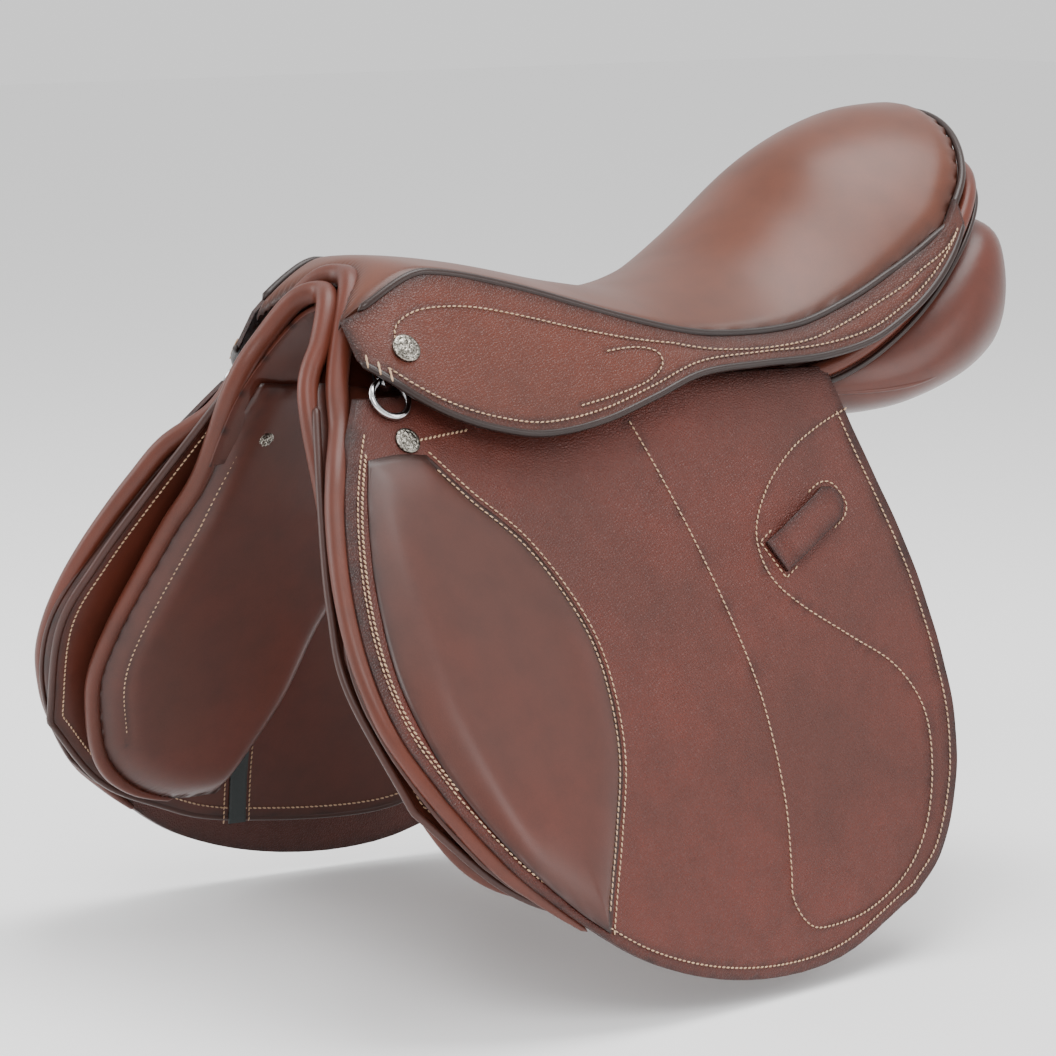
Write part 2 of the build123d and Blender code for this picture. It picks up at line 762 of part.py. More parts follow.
def make_studs():
    out = skirt_face(skirt_stud_share, skirt_stud_z) + 2 * bend_gap
    stud = disc_on_side(along(skirt_stud_share), skirt_stud_z, out, stud_radius, stud_height)
    save(both_sides(stud), "skirt_studs")
    y, z = flap_stud_place
    save(both_sides(disc_on_side(y, z, layer_gap, stud_radius * 0.9, stud_height)), "flap_studs")
    y, z = arch_button_place
    with BuildPart() as button:
        with BuildSketch(side_plane(y, z, panel_out - panel_thickness - layer_gap)):
            Circle(stud_radius * 0.7)
        extrude(amount=-stud_height)
    save(both_sides(button.part), "arch_buttons")


def roll_path(apex_y, apex_z, end):
    """Arch over the withers and down both front edges, in straight runs and tangent arcs."""
    x, y, z = end
    near = [(0.42 * x, apex_y - 8, apex_z - 7), (0.80 * x, 0.3 * apex_y + 0.7 * y, 0.5 * (apex_z + z)), end]
    far = [(-px, py, pz) for px, py, pz in near]
    return [*reversed(far), *near]


panel_roll_place = (along(-0.463), 67, (41, along(-0.56), 10))
seat_roll_place = (along(-0.43), 75, (53, along(-0.525), 8))
roll_places = [panel_roll_place, seat_roll_place]
roll_bend = 26.0


def stuffed_roll(apex_y, apex_z, end, radius):
    """Round roll over the withers, from its apex down to end on both sides."""
    with BuildPart() as roll:
        with BuildLine():
            path = FilletPolyline(*roll_path(apex_y, apex_z, end), radius=roll_bend)
        with BuildSketch(Plane(origin=path @ 0, z_dir=path % 0)):
            Circle(radius)
        sweep()
    return roll.part


def make_rolls():
    """The two stuffed rolls side by side round the front of the head arch."""
    save(stuffed_roll(*panel_roll_place, roll_radius), "panel_roll")
    save(stuffed_roll(*seat_roll_place, roll_radius), "seat_roll")


def make_arch_facing():
    """Leather lining of the head arch, inside the gullet plate."""
    depth = 2 * (head_plate_thickness + layer_gap)
    facing_width = 2 * head_plate_width
    with BuildPart() as facing:
        with BuildSketch(cross_plane(head_y - facing_width / 2)):
            with BuildLine():
                outside = head_profile(head_top - depth, head_out - depth)
                inside = head_profile(head_top - depth - seat_leather_thickness,
                                      head_out - depth - seat_leather_thickness)
                Line(outside @ 0, inside @ 0)
                Line(outside @ 1, inside @ 1)
            make_face()
        extrude(amount=-facing_width)
        with Locations((0, head_y, head_top + 1)):
            Box(2 * half_spread, 2 * facing_width, 2 * head_top, mode=Mode.INTERSECT)
    save(facing.part, "arch_facing")


def make_dee():
    """Ring in a staple on the flap head, in front of the stirrup bar."""
    y, z = dee_place
    base = side_plane(y, z, layer_gap)
    centre = dee_wire_radius + 0.6
    with BuildPart() as ring:
        with BuildSketch(Plane(origin=base.origin + base.z_dir * centre + base.x_dir * dee_ring_radius,
                               x_dir=base.x_dir, z_dir=base.y_dir)):
            Circle(dee_wire_radius)
        revolve(axis=Axis(base.origin + base.z_dir * centre, base.z_dir))
    save_pair(ring.part, "dee_ring")
    sag = dee_ring_radius - sqrt(dee_ring_radius ** 2 - (staple_width / 2) ** 2)
    tunnel = dee_wire_radius + dee_play + sag
    with BuildPart() as staple:
        with BuildSketch(base):
            with Locations((0, dee_ring_radius - sag / 2)):
                Rectangle(staple_width, 2 * (tunnel + staple_wall))
        extrude(amount=centre + tunnel + 1)
        middle = base.origin + base.z_dir * centre + base.y_dir * (dee_ring_radius - sag / 2)
        with BuildSketch(Plane(origin=middle, x_dir=base.y_dir, z_dir=base.x_dir)):
            Circle(tunnel)
        extrude(amount=staple_width, both=True, mode=Mode.SUBTRACT)
    save(both_sides(staple.part), "dee_staples")


def main():
    os.makedirs("parts", exist_ok=True)
    make_seat_leather()
    make_seat_foam()
    make_seat_webbing()
    make_cantle_facing()
    make_tree()
    make_head_plate()
    make_gullet_plate()
    make_springs()
    make_stirrup_bar()
    make_bar_latch()
    make_latch_pins()
    save(both_sides(bar_rivets()), "bar_rivets")
    make_flap()
    make_knee_pad()
    make_keeper_loop()
    make_skirt()
    make_sweat_flap()
    make_knee_block()
    make_billet_web()
    for name, y in billet_places():
        make_billet(name, y)
    make_panel()
    make_studs()
    make_rolls()
    make_arch_facing()
    make_dee()


main()
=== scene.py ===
import bpy
import bmesh
import math
from mathutils import Matrix, Vector
from mathutils.kdtree import KDTree
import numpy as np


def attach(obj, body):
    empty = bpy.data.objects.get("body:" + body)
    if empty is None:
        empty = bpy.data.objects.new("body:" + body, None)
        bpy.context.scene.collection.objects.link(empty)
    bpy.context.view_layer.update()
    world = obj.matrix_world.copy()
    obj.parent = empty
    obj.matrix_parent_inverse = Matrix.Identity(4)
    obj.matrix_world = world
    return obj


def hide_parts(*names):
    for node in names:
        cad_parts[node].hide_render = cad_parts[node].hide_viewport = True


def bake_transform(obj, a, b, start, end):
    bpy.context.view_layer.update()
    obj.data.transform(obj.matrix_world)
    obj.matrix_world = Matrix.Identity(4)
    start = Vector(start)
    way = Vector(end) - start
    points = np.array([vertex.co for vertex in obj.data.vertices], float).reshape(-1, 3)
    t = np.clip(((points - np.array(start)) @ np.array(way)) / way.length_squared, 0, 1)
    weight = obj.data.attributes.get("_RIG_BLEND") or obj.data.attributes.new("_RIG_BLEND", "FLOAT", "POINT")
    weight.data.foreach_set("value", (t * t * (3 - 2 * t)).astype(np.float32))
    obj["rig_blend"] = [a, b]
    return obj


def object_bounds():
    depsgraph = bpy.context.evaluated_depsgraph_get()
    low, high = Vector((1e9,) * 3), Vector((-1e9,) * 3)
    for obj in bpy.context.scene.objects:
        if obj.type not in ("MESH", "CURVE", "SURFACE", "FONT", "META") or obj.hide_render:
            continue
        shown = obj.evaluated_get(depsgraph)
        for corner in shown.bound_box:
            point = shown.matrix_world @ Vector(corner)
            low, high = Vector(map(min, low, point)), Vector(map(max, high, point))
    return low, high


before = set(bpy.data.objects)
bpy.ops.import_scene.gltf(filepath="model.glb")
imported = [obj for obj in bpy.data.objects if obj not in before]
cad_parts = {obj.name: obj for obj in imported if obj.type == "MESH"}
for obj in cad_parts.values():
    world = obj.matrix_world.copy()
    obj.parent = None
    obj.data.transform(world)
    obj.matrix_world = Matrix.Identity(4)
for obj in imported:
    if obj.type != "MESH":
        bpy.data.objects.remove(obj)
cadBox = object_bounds()
seatLength = 0.442              # stud to cantle, as the frame was drawn

# shapes shared by all the leather
sideForm = {"halfSpread": 0.094, "flare": 0.49, "curl": -0.37, "spread": 0.142, "twist": -0.8, "bow": 0.23}


def sideX(y, z, out=0.0):       # the flap's outer face; every side layer is this, moved sideways
    f = sideForm
    h = -z
    return (f["halfSpread"] + out + f["flare"] * h + f["curl"] * h * h + f["spread"] * y
            + f["twist"] * y * h + f["bow"] * y * y)


def along(share):
    return share * seatLength


def mirrored(points):           # the same line on the off side, run backwards
    return [Vector((-p.x, p.y, p.z)) for p in points[::-1]]


def ontoSide(line, out, forward=0.0):   # a flat line laid on a side layer
    return [Vector((sideX(p.x, p.y, out), p.x - forward, p.y)) for p in line]


def spotOn(share, steps):       # the stretch of a line that a share falls in, and how far along it
    i = min(max(share, 0), 1) * steps
    k = min(int(i), steps - 1)
    return k, i - k


def smoothAt(table, s, column=1):   # a smooth curve through the rows of a short table
    rows = sorted(table)
    s = min(max(s, rows[0][0]), rows[-1][0])
    k = 0
    while k < len(rows) - 2 and s > rows[k + 1][0]:
        k += 1
    before, low, high, after = rows[max(k - 1, 0)], rows[k], rows[k + 1], rows[min(k + 2, len(rows) - 1)]
    span = high[0] - low[0]
    t = (s - low[0]) / span
    slopeLow = (high[column] - before[column]) / max(high[0] - before[0], 1e-6) * span
    slopeHigh = (after[column] - low[column]) / max(after[0] - low[0], 1e-6) * span
    a = 2 * t ** 3 - 3 * t ** 2 + 1
    b = t ** 3 - 2 * t ** 2 + t
    c = -2 * t ** 3 + 3 * t ** 2
    d = t ** 3 - t ** 2
    return a * low[column] + b * slopeLow + c * high[column] + d * slopeHigh


def throughPoints(points, count):   # evenly spaced points on a smooth curve through a few points
    pts = [Vector(p) for p in points]
    if len(pts) == 2:
        return [pts[0].lerp(pts[1], i / (count - 1)) for i in range(count)]
    pts = [pts[0] * 2 - pts[1]] + pts + [pts[-1] * 2 - pts[-2]]
    dense = []
    for i in range(1, len(pts) - 2):
        p0, p1, p2, p3 = pts[i - 1:i + 3]
        for j in range(24):
            t = j / 24
            dense.append(0.5 * (2 * p1 + (p2 - p0) * t + (2 * p0 - 5 * p1 + 4 * p2 - p3) * t * t
                                + (3 * p1 - p0 - 3 * p2 + p3) * t ** 3))
    dense.append(pts[-2])
    return evenly(dense, count)


def evenly(dense, count):       # the same line, cut into equal steps
    lengths = [0.0]
    for a, b in zip(dense, dense[1:]):
        lengths.append(lengths[-1] + (b - a).length)
    out = []
    k = 0
    for i in range(count):
        want = lengths[-1] * i / (count - 1)
        while k < len(lengths) - 2 and lengths[k + 1] < want:
            k += 1
        step = max(lengths[k + 1] - lengths[k], 1e-9)
        out.append(dense[k].lerp(dense[k + 1], (want - lengths[k]) / step))
    return out


def lineLength(points):
    return sum((b - a).length for a, b in zip(points, points[1:]))


def coons(u, v, sides):         # a point inside four edge curves: front, rear (v) and top, bottom (u)
    front, rear, top, bottom = sides
    def pick(curve, t):
        x = t * (len(curve) - 1)
        k = min(int(x), len(curve) - 2)
        return curve[k].lerp(curve[k + 1], x - k)
    c00, c10, c01, c11 = top[0], top[-1], bottom[0], bottom[-1]
    ruled = (pick(front, v) * (1 - u) + pick(rear, v) * u) + (pick(top, u) * (1 - v) + pick(bottom, u) * v)
    return ruled - (c00 * (1 - u) * (1 - v) + c10 * u * (1 - v) + c01 * (1 - u) * v + c11 * u * v)


def edgeTree(points):
    tree = KDTree(len(points))
    for i, p in enumerate(points):
        tree.insert(Vector((p[0], p[1], 0)), i)
    tree.balance()
    return tree


def distanceTo(tree, a, b):
    return tree.find(Vector((a, b, 0)))[2]


def smoothOnce(bm, verts):
    bmesh.ops.smooth_vert(bm, verts=verts, factor=0.5, use_axis_x=True, use_axis_y=True, use_axis_z=True)


def shadeAll(mesh):
    mesh.polygons.foreach_set("use_smooth", [True] * len(mesh.polygons))


def toObject(bm, name, material):
    mesh = bpy.data.meshes.new(name)
    bm.to_mesh(mesh)
    bm.free()
    shadeAll(mesh)
    obj = bpy.data.objects.new(name, mesh)
    bpy.context.scene.collection.objects.link(obj)
    mesh.materials.append(material)
    return obj


def otherSide(obj, name):       # the mirror image, for the off side
    bm = bmesh.new()
    bm.from_mesh(obj.data)
    bmesh.ops.scale(bm, vec=(-1, 1, 1), verts=bm.verts)
    bmesh.ops.reverse_faces(bm, faces=bm.faces)
    twin = toObject(bm, name, obj.data.materials[0])
    for extra in obj.data.materials[1:]:
        twin.data.materials.append(extra)
    return twin


def pair(obj, name, body, replaced=(), blendTo=None):   # near piece and its off twin
    obj.name = name + "_left"
    obj.data.name = obj.name
    twin = otherSide(obj, name + "_right")
    for piece, side in ((obj, "left"), (twin, "right")):
        if blendTo:
            high, low = blendTo[1]      # the crease runs a little uphill to the back
            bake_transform(piece, body, blendTo[0] + "_" + side, start=(0, 0, high),
                     end=(0, (high - low) * blendTo[2], low))
        else:
            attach(piece, body if body == "saddle" else body + "_" + side)
        if replaced:
            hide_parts(*[node + "_" + side for node in replaced])
    return obj, twin


def single(obj, replaced=()):
    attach(obj, "saddle")
    if replaced:
        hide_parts(*replaced)
    return obj


wear = {"edgeWidth": 0.0035, "seamWidth": 0.0016, "sharpAngle": 0.9}     # where leather darkens


def skinMesh(sides, across, downwards, front, back, rim, seams=(), relax=0):
    # a leather or pad with a front and a back surface over one outline
    bm = bmesh.new()
    bmesh.ops.create_grid(bm, x_segments=across, y_segments=downwards, size=0.5)
    titles = ("placeA", "placeB", "inside", "toSeam")
    layers = [bm.verts.layers.float.new(title) for title in titles]
    edge = bm.verts.layers.float.new("edge")
    seam = bm.verts.layers.float.new("seam")
    border = edgeTree([p for side in sides for p in side])
    seamTree = edgeTree([p for line in seams for p in line]) if seams else None
    for v in bm.verts:
        p = coons(min(max(v.co.x + 0.5, 0), 1), min(max(0.5 - v.co.y, 0), 1), sides)
        d = distanceTo(border, p[0], p[1])
        s = distanceTo(seamTree, p[0], p[1]) if seamTree else 1.0
        for layer, value in zip(layers, (p[0], p[1], d, s)):
            v[layer] = value
        v[edge] = math.exp(-d / wear["edgeWidth"])
        v[seam] = math.exp(-(s / wear["seamWidth"]) ** 2)
        v.co = front(p[0], p[1], d, s)
    behind = bmesh.ops.extrude_face_region(bm, geom=list(bm.faces), use_keep_orig=True)["geom"]
    for v in (g for g in behind if isinstance(g, bmesh.types.BMVert)):
        v.co = back(*[v[layer] for layer in layers])
        v[seam] = 0.0
    free = [v for v in bm.verts if v[layers[2]] > 0.002]
    for _ in range(relax):      # evens out the stuffing's surface
        smoothOnce(bm, free)
    bmesh.ops.recalc_face_normals(bm, faces=bm.faces)
    bm.normal_update()
    if rim > 0:
        sharp = [e for e in bm.edges if len(e.link_faces) == 2 and e.calc_face_angle(0) > wear["sharpAngle"]]
        bmesh.ops.bevel(bm, geom=sharp, offset=rim, segments=3, profile=0.5, affect="EDGES",
                        clamp_overlap=True, material=-1)
    for title in titles:
        bm.verts.layers.float.remove(bm.verts.layers.float[title])
    return bm


def gridTube(name, rings, material, relax=0):    # a closed skin over a run of rings
    around, count = len(rings[0]), len(rings)
    bm = bmesh.new()
    bmesh.ops.create_grid(bm, x_segments=around, y_segments=count - 1, size=0.5)
    for v in bm.verts:
        i = round((v.co.x + 0.5) * around) % around
        j = round((v.co.y + 0.5) * (count - 1))
        v.co = rings[j][i]
    bmesh.ops.remove_doubles(bm, verts=bm.verts, dist=0.000004)
    bmesh.ops.holes_fill(bm, edges=[e for e in bm.edges if e.is_boundary], sides=0)
    for _ in range(relax):
        smoothOnce(bm, bm.verts)
    bmesh.ops.recalc_face_normals(bm, faces=bm.faces)
    return toObject(bm, name, material)


def tubeAlong(name, points, radius, material, taper=None, around=12, step=0.0035):
    # a round roll on a smooth line, its ends rounded off
    count = max(int(lineLength(points) / step), 8)
    line = evenly(points, count)
    total = lineLength(points)
    rings = []
    side = Vector((0, 0, 1))
    for i, p in enumerate(line):
        ahead = (line[min(i + 1, count - 1)] - line[max(i - 1, 0)]).normalized()
        side = (side - ahead * side.dot(ahead)).normalized() if i else ahead.orthogonal().normalized()
        up = ahead.cross(side)
        t = i / (count - 1)
        toEnd = min(t, 1 - t) * total
        size = radius * (taper(t) if taper else 1.0)
        if toEnd < size:
            size *= math.sqrt(max(1 - (1 - toEnd / size) ** 2, 0.02))
        rings.append([p + (side * math.cos(a) + up * math.sin(a)) * size
                      for a in (2 * math.pi * k / around for k in range(around))])
    return gridTube(name, rings, material)


def stitchRow(bm, points, normalAt, size):      # one bead of thread for every stitch
    count = max(int(lineLength(points) / size["pitch"]), 2)
    marks = evenly(points, count + 1)
    for a, b in zip(marks, marks[1:]):
        middle = (a + b) / 2
        normal = normalAt(middle)
        tangent = (b - a).normalized()
        slant = (tangent + normal.cross(tangent) * size["slant"]).normalized()
        turn = Matrix((slant, normal.cross(slant).normalized(), normal)).transposed().to_4x4()
        shape = Matrix.Diagonal((size["length"] / 2, size["width"] / 2, size["height"] / 2, 1))
        place = Matrix.Translation(middle + normal * size["lift"])
        bmesh.ops.create_uvsphere(bm, u_segments=6, v_segments=4, radius=1.0, matrix=place @ turn @ shape)


thread = {"pitch": 0.0034, "length": 0.0030, "width": 0.0011, "height": 0.0009, "slant": 0.16, "lift": 0.0001}
heavyThread = {"pitch": 0.0030, "length": 0.0030, "width": 0.0014, "height": 0.0011, "slant": 0.5, "lift": 0.0002}


def surfaceRow(bm, line, place, size, outward):     # a row of stitches on a surface, from flat points
    flat = evenly(line, max(int(lineLength(line) / 0.0015), 8))
    solid = [place(p[0], p[1]) for p in flat]
    finder = KDTree(len(solid))
    for i, p in enumerate(solid):
        finder.insert(p, i)
    finder.balance()

    def normalAt(m):
        a, b = flat[finder.find(m)[1]][:2]
        step = 0.0008
        n = (place(a + step, b) - place(a - step, b)).cross(place(a, b + step) - place(a, b - step)).normalized()
        return n if n.dot(outward) > 0 else -n
    stitchRow(bm, solid, normalAt, size)


nearSide = Vector((1, 0, 0))


# materials
def groupOf(name, inputs, outputs):
    group = bpy.data.node_groups.new(name, "ShaderNodeTree")
    for title, kind, value in inputs:
        socket = group.interface.new_socket(title, in_out="INPUT", socket_type=kind)
        if value is not None:
            socket.default_value = value
    for title, kind in outputs:
        group.interface.new_socket(title, in_out="OUTPUT", socket_type=kind)
    source = group.nodes.new("NodeGroupInput")
    sink = group.nodes.new("NodeGroupOutput")
    return group, source, sink


def addNode(tree, kind, settings=None, **values):
    node = tree.nodes.new(kind)
    for key, value in (settings or {}).items():
        setattr(node, key, value)
    for key, value in values.items():
        node.inputs[key.replace("_", " ")].default_value = value
    return node


def mathNode(tree, operation, a, b=None, clamp=False):
    node = tree.nodes.new("ShaderNodeMath")
    node.operation = operation
    node.use_clamp = clamp
    for i, item in enumerate((a, b)):
        if item is None:
            continue
        if isinstance(item, (int, float)):
            node.inputs[i].default_value = item
        else:
            tree.links.new(item, node.inputs[i])
    return node.outputs[0]


def leatherGrainGroup():        # pebbled pores and fine creases
    group, source, sink = groupOf("leatherGrain", [
        ("Vector", "NodeSocketVector", None), ("Scale", "NodeSocketFloat", 700.0),
        ("Pebble", "NodeSocketFloat", 1.0), ("Crease", "NodeSocketFloat", 0.4)],
        [("Height", "NodeSocketFloat"), ("Pores", "NodeSocketFloat")])
    link = group.links.new
    bend = addNode(group, "ShaderNodeTexNoise", Scale=90.0, Detail=3.0)
    link(source.outputs["Vector"], bend.inputs["Vector"])
    warp = addNode(group, "ShaderNodeVectorMath", {"operation": "MULTIPLY_ADD"})
    link(bend.outputs["Color"], warp.inputs[0])
    warp.inputs[1].default_value = (0.002, 0.002, 0.002)
    link(source.outputs["Vector"], warp.inputs[2])
    cells = addNode(group, "ShaderNodeTexVoronoi", {"feature": "DISTANCE_TO_EDGE"})
    link(warp.outputs[0], cells.inputs["Vector"])
    link(source.outputs["Scale"], cells.inputs["Scale"])
    pores = mathNode(group, "MULTIPLY", cells.outputs["Distance"], 3.2, clamp=True)
    crease = addNode(group, "ShaderNodeTexNoise", Scale=260.0, Detail=6.0, Roughness=0.65)
    link(source.outputs["Vector"], crease.inputs["Vector"])
    one = mathNode(group, "MULTIPLY", pores, source.outputs["Pebble"])
    two = mathNode(group, "MULTIPLY", crease.outputs["Fac"], source.outputs["Crease"])
    link(mathNode(group, "ADD", one, two), sink.inputs["Height"])
    link(pores, sink.inputs["Pores"])
    return group


def leatherToneGroup():         # uneven dye: lighter rubbed places, darker edges and seams
    group, source, sink = groupOf("leatherTone", [
        ("Vector", "NodeSocketVector", None), ("Base", "NodeSocketColor", (0.1, 0.04, 0.03, 1)),
        ("Warm", "NodeSocketColor", (0.15, 0.04, 0.03, 1)), ("Dark", "NodeSocketColor", (0.02, 0.01, 0.01, 1)),
        ("Edge", "NodeSocketFloat", 0.0), ("Seam", "NodeSocketFloat", 0.0), ("Pores", "NodeSocketFloat", 1.0)],
        [("Color", "NodeSocketColor"), ("Worn", "NodeSocketFloat")])
    link = group.links.new
    broad = addNode(group, "ShaderNodeTexNoise", Scale=7.0, Detail=3.0, Roughness=0.55)
    fine = addNode(group, "ShaderNodeTexNoise", Scale=60.0, Detail=5.0, Roughness=0.6)
    for node in (broad, fine):
        link(source.outputs["Vector"], node.inputs["Vector"])
    spread = addNode(group, "ShaderNodeMapRange", From_Min=0.36, From_Max=0.66)
    link(broad.outputs["Fac"], spread.inputs["Value"])
    warm = addNode(group, "ShaderNodeMix", {"data_type": "RGBA"})
    link(spread.outputs[0], warm.inputs["Factor"])
    link(source.outputs["Base"], warm.inputs["A"])
    link(source.outputs["Warm"], warm.inputs["B"])
    speck = mathNode(group, "MULTIPLY", mathNode(group, "SUBTRACT", fine.outputs["Fac"], 0.42, True), 0.5)
    gap = mathNode(group, "MULTIPLY", mathNode(group, "SUBTRACT", 1.0, source.outputs["Pores"], True), 0.22)
    edgeDark = mathNode(group, "MULTIPLY", source.outputs["Edge"], 0.75)
    seamDark = mathNode(group, "MULTIPLY", source.outputs["Seam"], 0.45)
    total = mathNode(group, "ADD", mathNode(group, "ADD", speck, gap), mathNode(group, "ADD", edgeDark, seamDark),
                     clamp=True)
    shade = addNode(group, "ShaderNodeMix", {"data_type": "RGBA"})
    link(total, shade.inputs["Factor"])
    link(warm.outputs["Result"], shade.inputs["A"])
    link(source.outputs["Dark"], shade.inputs["B"])
    link(shade.outputs["Result"], sink.inputs["Color"])
    link(spread.outputs[0], sink.inputs["Worn"])
    return group


grainGroup = leatherGrainGroup()
toneGroup = leatherToneGroup()


def newMaterial(name):
    material = bpy.data.materials.new(name)
    material.use_nodes = True
    return material, material.node_tree, material.node_tree.nodes["Principled BSDF"]


def objectPlace(tree):
    return tree.nodes.new("ShaderNodeTexCoord").outputs["Object"]


def addBump(tree, shader, height, strength, depth):
    bump = addNode(tree, "ShaderNodeBump", Strength=strength, Distance=depth)
    tree.links.new(height, bump.inputs["Height"])
    tree.links.new(bump.outputs["Normal"], shader.inputs["Normal"])


def dyeBetween(tree, shader, factor, dark, light):
    tint = addNode(tree, "ShaderNodeMix", {"data_type": "RGBA"})
    tint.inputs["A"].default_value = (*dark, 1)
    tint.inputs["B"].default_value = (*light, 1)
    tree.links.new(factor, tint.inputs["Factor"])
    tree.links.new(tint.outputs["Result"], shader.inputs["Base Color"])


def leatherMaterial(name, look):
    material, tree, shader = newMaterial(name)
    link = tree.links.new
    place = objectPlace(tree)
    grain = addNode(tree, "ShaderNodeGroup", {"node_tree": grainGroup}, Scale=look["grainScale"],
                    Pebble=look["pebble"], Crease=look["crease"])
    tone = addNode(tree, "ShaderNodeGroup", {"node_tree": toneGroup}, Base=(*look["base"], 1),
                   Warm=(*look["warm"], 1), Dark=(*look["dark"], 1))
    for node in (grain, tone):
        link(place, node.inputs["Vector"])
    for title, socket in (("edge", "Edge"), ("seam", "Seam")):
        mark = addNode(tree, "ShaderNodeAttribute", {"attribute_name": title})
        link(mark.outputs["Fac"], tone.inputs[socket])
    link(grain.outputs["Pores"], tone.inputs["Pores"])
    link(tone.outputs["Color"], shader.inputs["Base Color"])
    gloss = addNode(tree, "ShaderNodeMapRange", To_Min=look["rough"] + 0.07, To_Max=look["rough"] - 0.05)
    link(tone.outputs["Worn"], gloss.inputs["Value"])
    link(gloss.outputs[0], shader.inputs["Roughness"])
    addBump(tree, shader, grain.outputs["Height"], look["bump"], 0.0004)
    for socket, key in (("Specular IOR Level", "specular"), ("Coat Weight", "coat"),
                        ("Coat Roughness", "coatRough")):
        shader.inputs[socket].default_value = look[key]
    return material


leatherLooks = {
    "seatLeather": {"base": (0.098, 0.0265, 0.0115), "warm": (0.128, 0.032, 0.013), "dark": (0.014, 0.005, 0.004),
                    "grainScale": 1500.0, "pebble": 0.25, "crease": 0.5, "rough": 0.43, "bump": 0.12,
                    "specular": 0.30, "coat": 0.22, "coatRough": 0.30},
    "flapLeather": {"base": (0.082, 0.0215, 0.0145), "warm": (0.118, 0.025, 0.016), "dark": (0.014, 0.005, 0.004),
                    "grainScale": 620.0, "pebble": 1.0, "crease": 0.5, "rough": 0.41, "bump": 0.7,
                    "specular": 0.26, "coat": 0.14, "coatRough": 0.34},
    "skirtLeather": {"base": (0.084, 0.023, 0.0135), "warm": (0.116, 0.0265, 0.014), "dark": (0.014, 0.005, 0.004),
                     "grainScale": 640.0, "pebble": 1.0, "crease": 0.5, "rough": 0.40, "bump": 0.6,
                     "specular": 0.26, "coat": 0.14, "coatRough": 0.34},
    "padLeather": {"base": (0.068, 0.0205, 0.0135), "warm": (0.098, 0.0235, 0.0145),
                   "dark": (0.012, 0.0045, 0.0035),
                   "grainScale": 1400.0, "pebble": 0.3, "crease": 0.5, "rough": 0.38, "bump": 0.14,
                   "specular": 0.30, "coat": 0.22, "coatRough": 0.27},
    "panelLeather": {"base": (0.076, 0.02, 0.012), "warm": (0.11, 0.0235, 0.013), "dark": (0.011, 0.004, 0.003),
                     "grainScale": 1300.0, "pebble": 0.3, "crease": 0.6, "rough": 0.36, "bump": 0.14,
                     "specular": 0.30, "coat": 0.24, "coatRough": 0.27},
    "rollLeather": {"base": (0.092, 0.024, 0.0135), "warm": (0.12, 0.026, 0.0135), "dark": (0.014, 0.0055, 0.004),
                    "grainScale": 1100.0, "pebble": 0.5, "crease": 0.7, "rough": 0.42, "bump": 0.22,
                    "specular": 0.26, "coat": 0.18, "coatRough": 0.32},
    "edgePaint": {"base": (0.017, 0.0095, 0.008), "warm": (0.027, 0.012, 0.009), "dark": (0.006, 0.004, 0.004),
                  "grainScale": 900.0, "pebble": 0.3, "crease": 0.7, "rough": 0.36, "bump": 0.15,
                  "specular": 0.26, "coat": 0.2, "coatRough": 0.3},
    "bindingLeather": {"base": (0.040, 0.0130, 0.0085), "warm": (0.058, 0.015, 0.009),
                       "dark": (0.010, 0.004, 0.003),
                       "grainScale": 1000.0, "pebble": 0.5, "crease": 0.6, "rough": 0.40, "bump": 0.2,
                       "specular": 0.3, "coat": 0.15, "coatRough": 0.33},
    "billetLeather": {"base": (0.055, 0.018, 0.01), "warm": (0.075, 0.019, 0.01), "dark": (0.01, 0.004, 0.003),
                      "grainScale": 900.0, "pebble": 0.5, "crease": 0.6, "rough": 0.46, "bump": 0.2,
                      "specular": 0.26, "coat": 0.1, "coatRough": 0.4},
}
leather = {name: leatherMaterial(name, look) for name, look in leatherLooks.items()}


def threadMaterial():
    material, tree, shader = newMaterial("waxedThread")
    link = tree.links.new
    place = objectPlace(tree)
    noise = addNode(tree, "ShaderNodeTexNoise", Scale=140.0, Detail=3.0)
    link(place, noise.inputs["Vector"])
    dyeBetween(tree, shader, noise.outputs["Fac"], (0.30, 0.165, 0.085), (0.62, 0.42, 0.26))
    twist = addNode(tree, "ShaderNodeTexWave", {"bands_direction": "DIAGONAL"}, Scale=900.0)
    link(place, twist.inputs["Vector"])
    addBump(tree, shader, twist.outputs["Fac"], 0.5, 0.0002)
    shader.inputs["Roughness"].default_value = 0.62
    shader.inputs["Sheen Weight"].default_value = 0.2
    return material


def metalMaterial(name, look):
    material, tree, shader = newMaterial(name)
    link = tree.links.new
    place = objectPlace(tree)
    noise = addNode(tree, "ShaderNodeTexNoise", Scale=look["scale"], Detail=5.0)
    link(place, noise.inputs["Vector"])
    spread = addNode(tree, "ShaderNodeMapRange", From_Min=0.38, From_Max=0.6)
    link(noise.outputs["Fac"], spread.inputs["Value"])
    dyeBetween(tree, shader, spread.outputs[0], look["dark"], look["light"])
    rough = addNode(tree, "ShaderNodeMapRange", To_Min=look["rough"] + 0.1, To_Max=look["rough"])
    link(noise.outputs["Fac"], rough.inputs["Value"])
    link(rough.outputs[0], shader.inputs["Roughness"])
    addBump(tree, shader, noise.outputs["Fac"], look["bump"], 0.0002)
    shader.inputs["Metallic"].default_value = 1.0
    return material


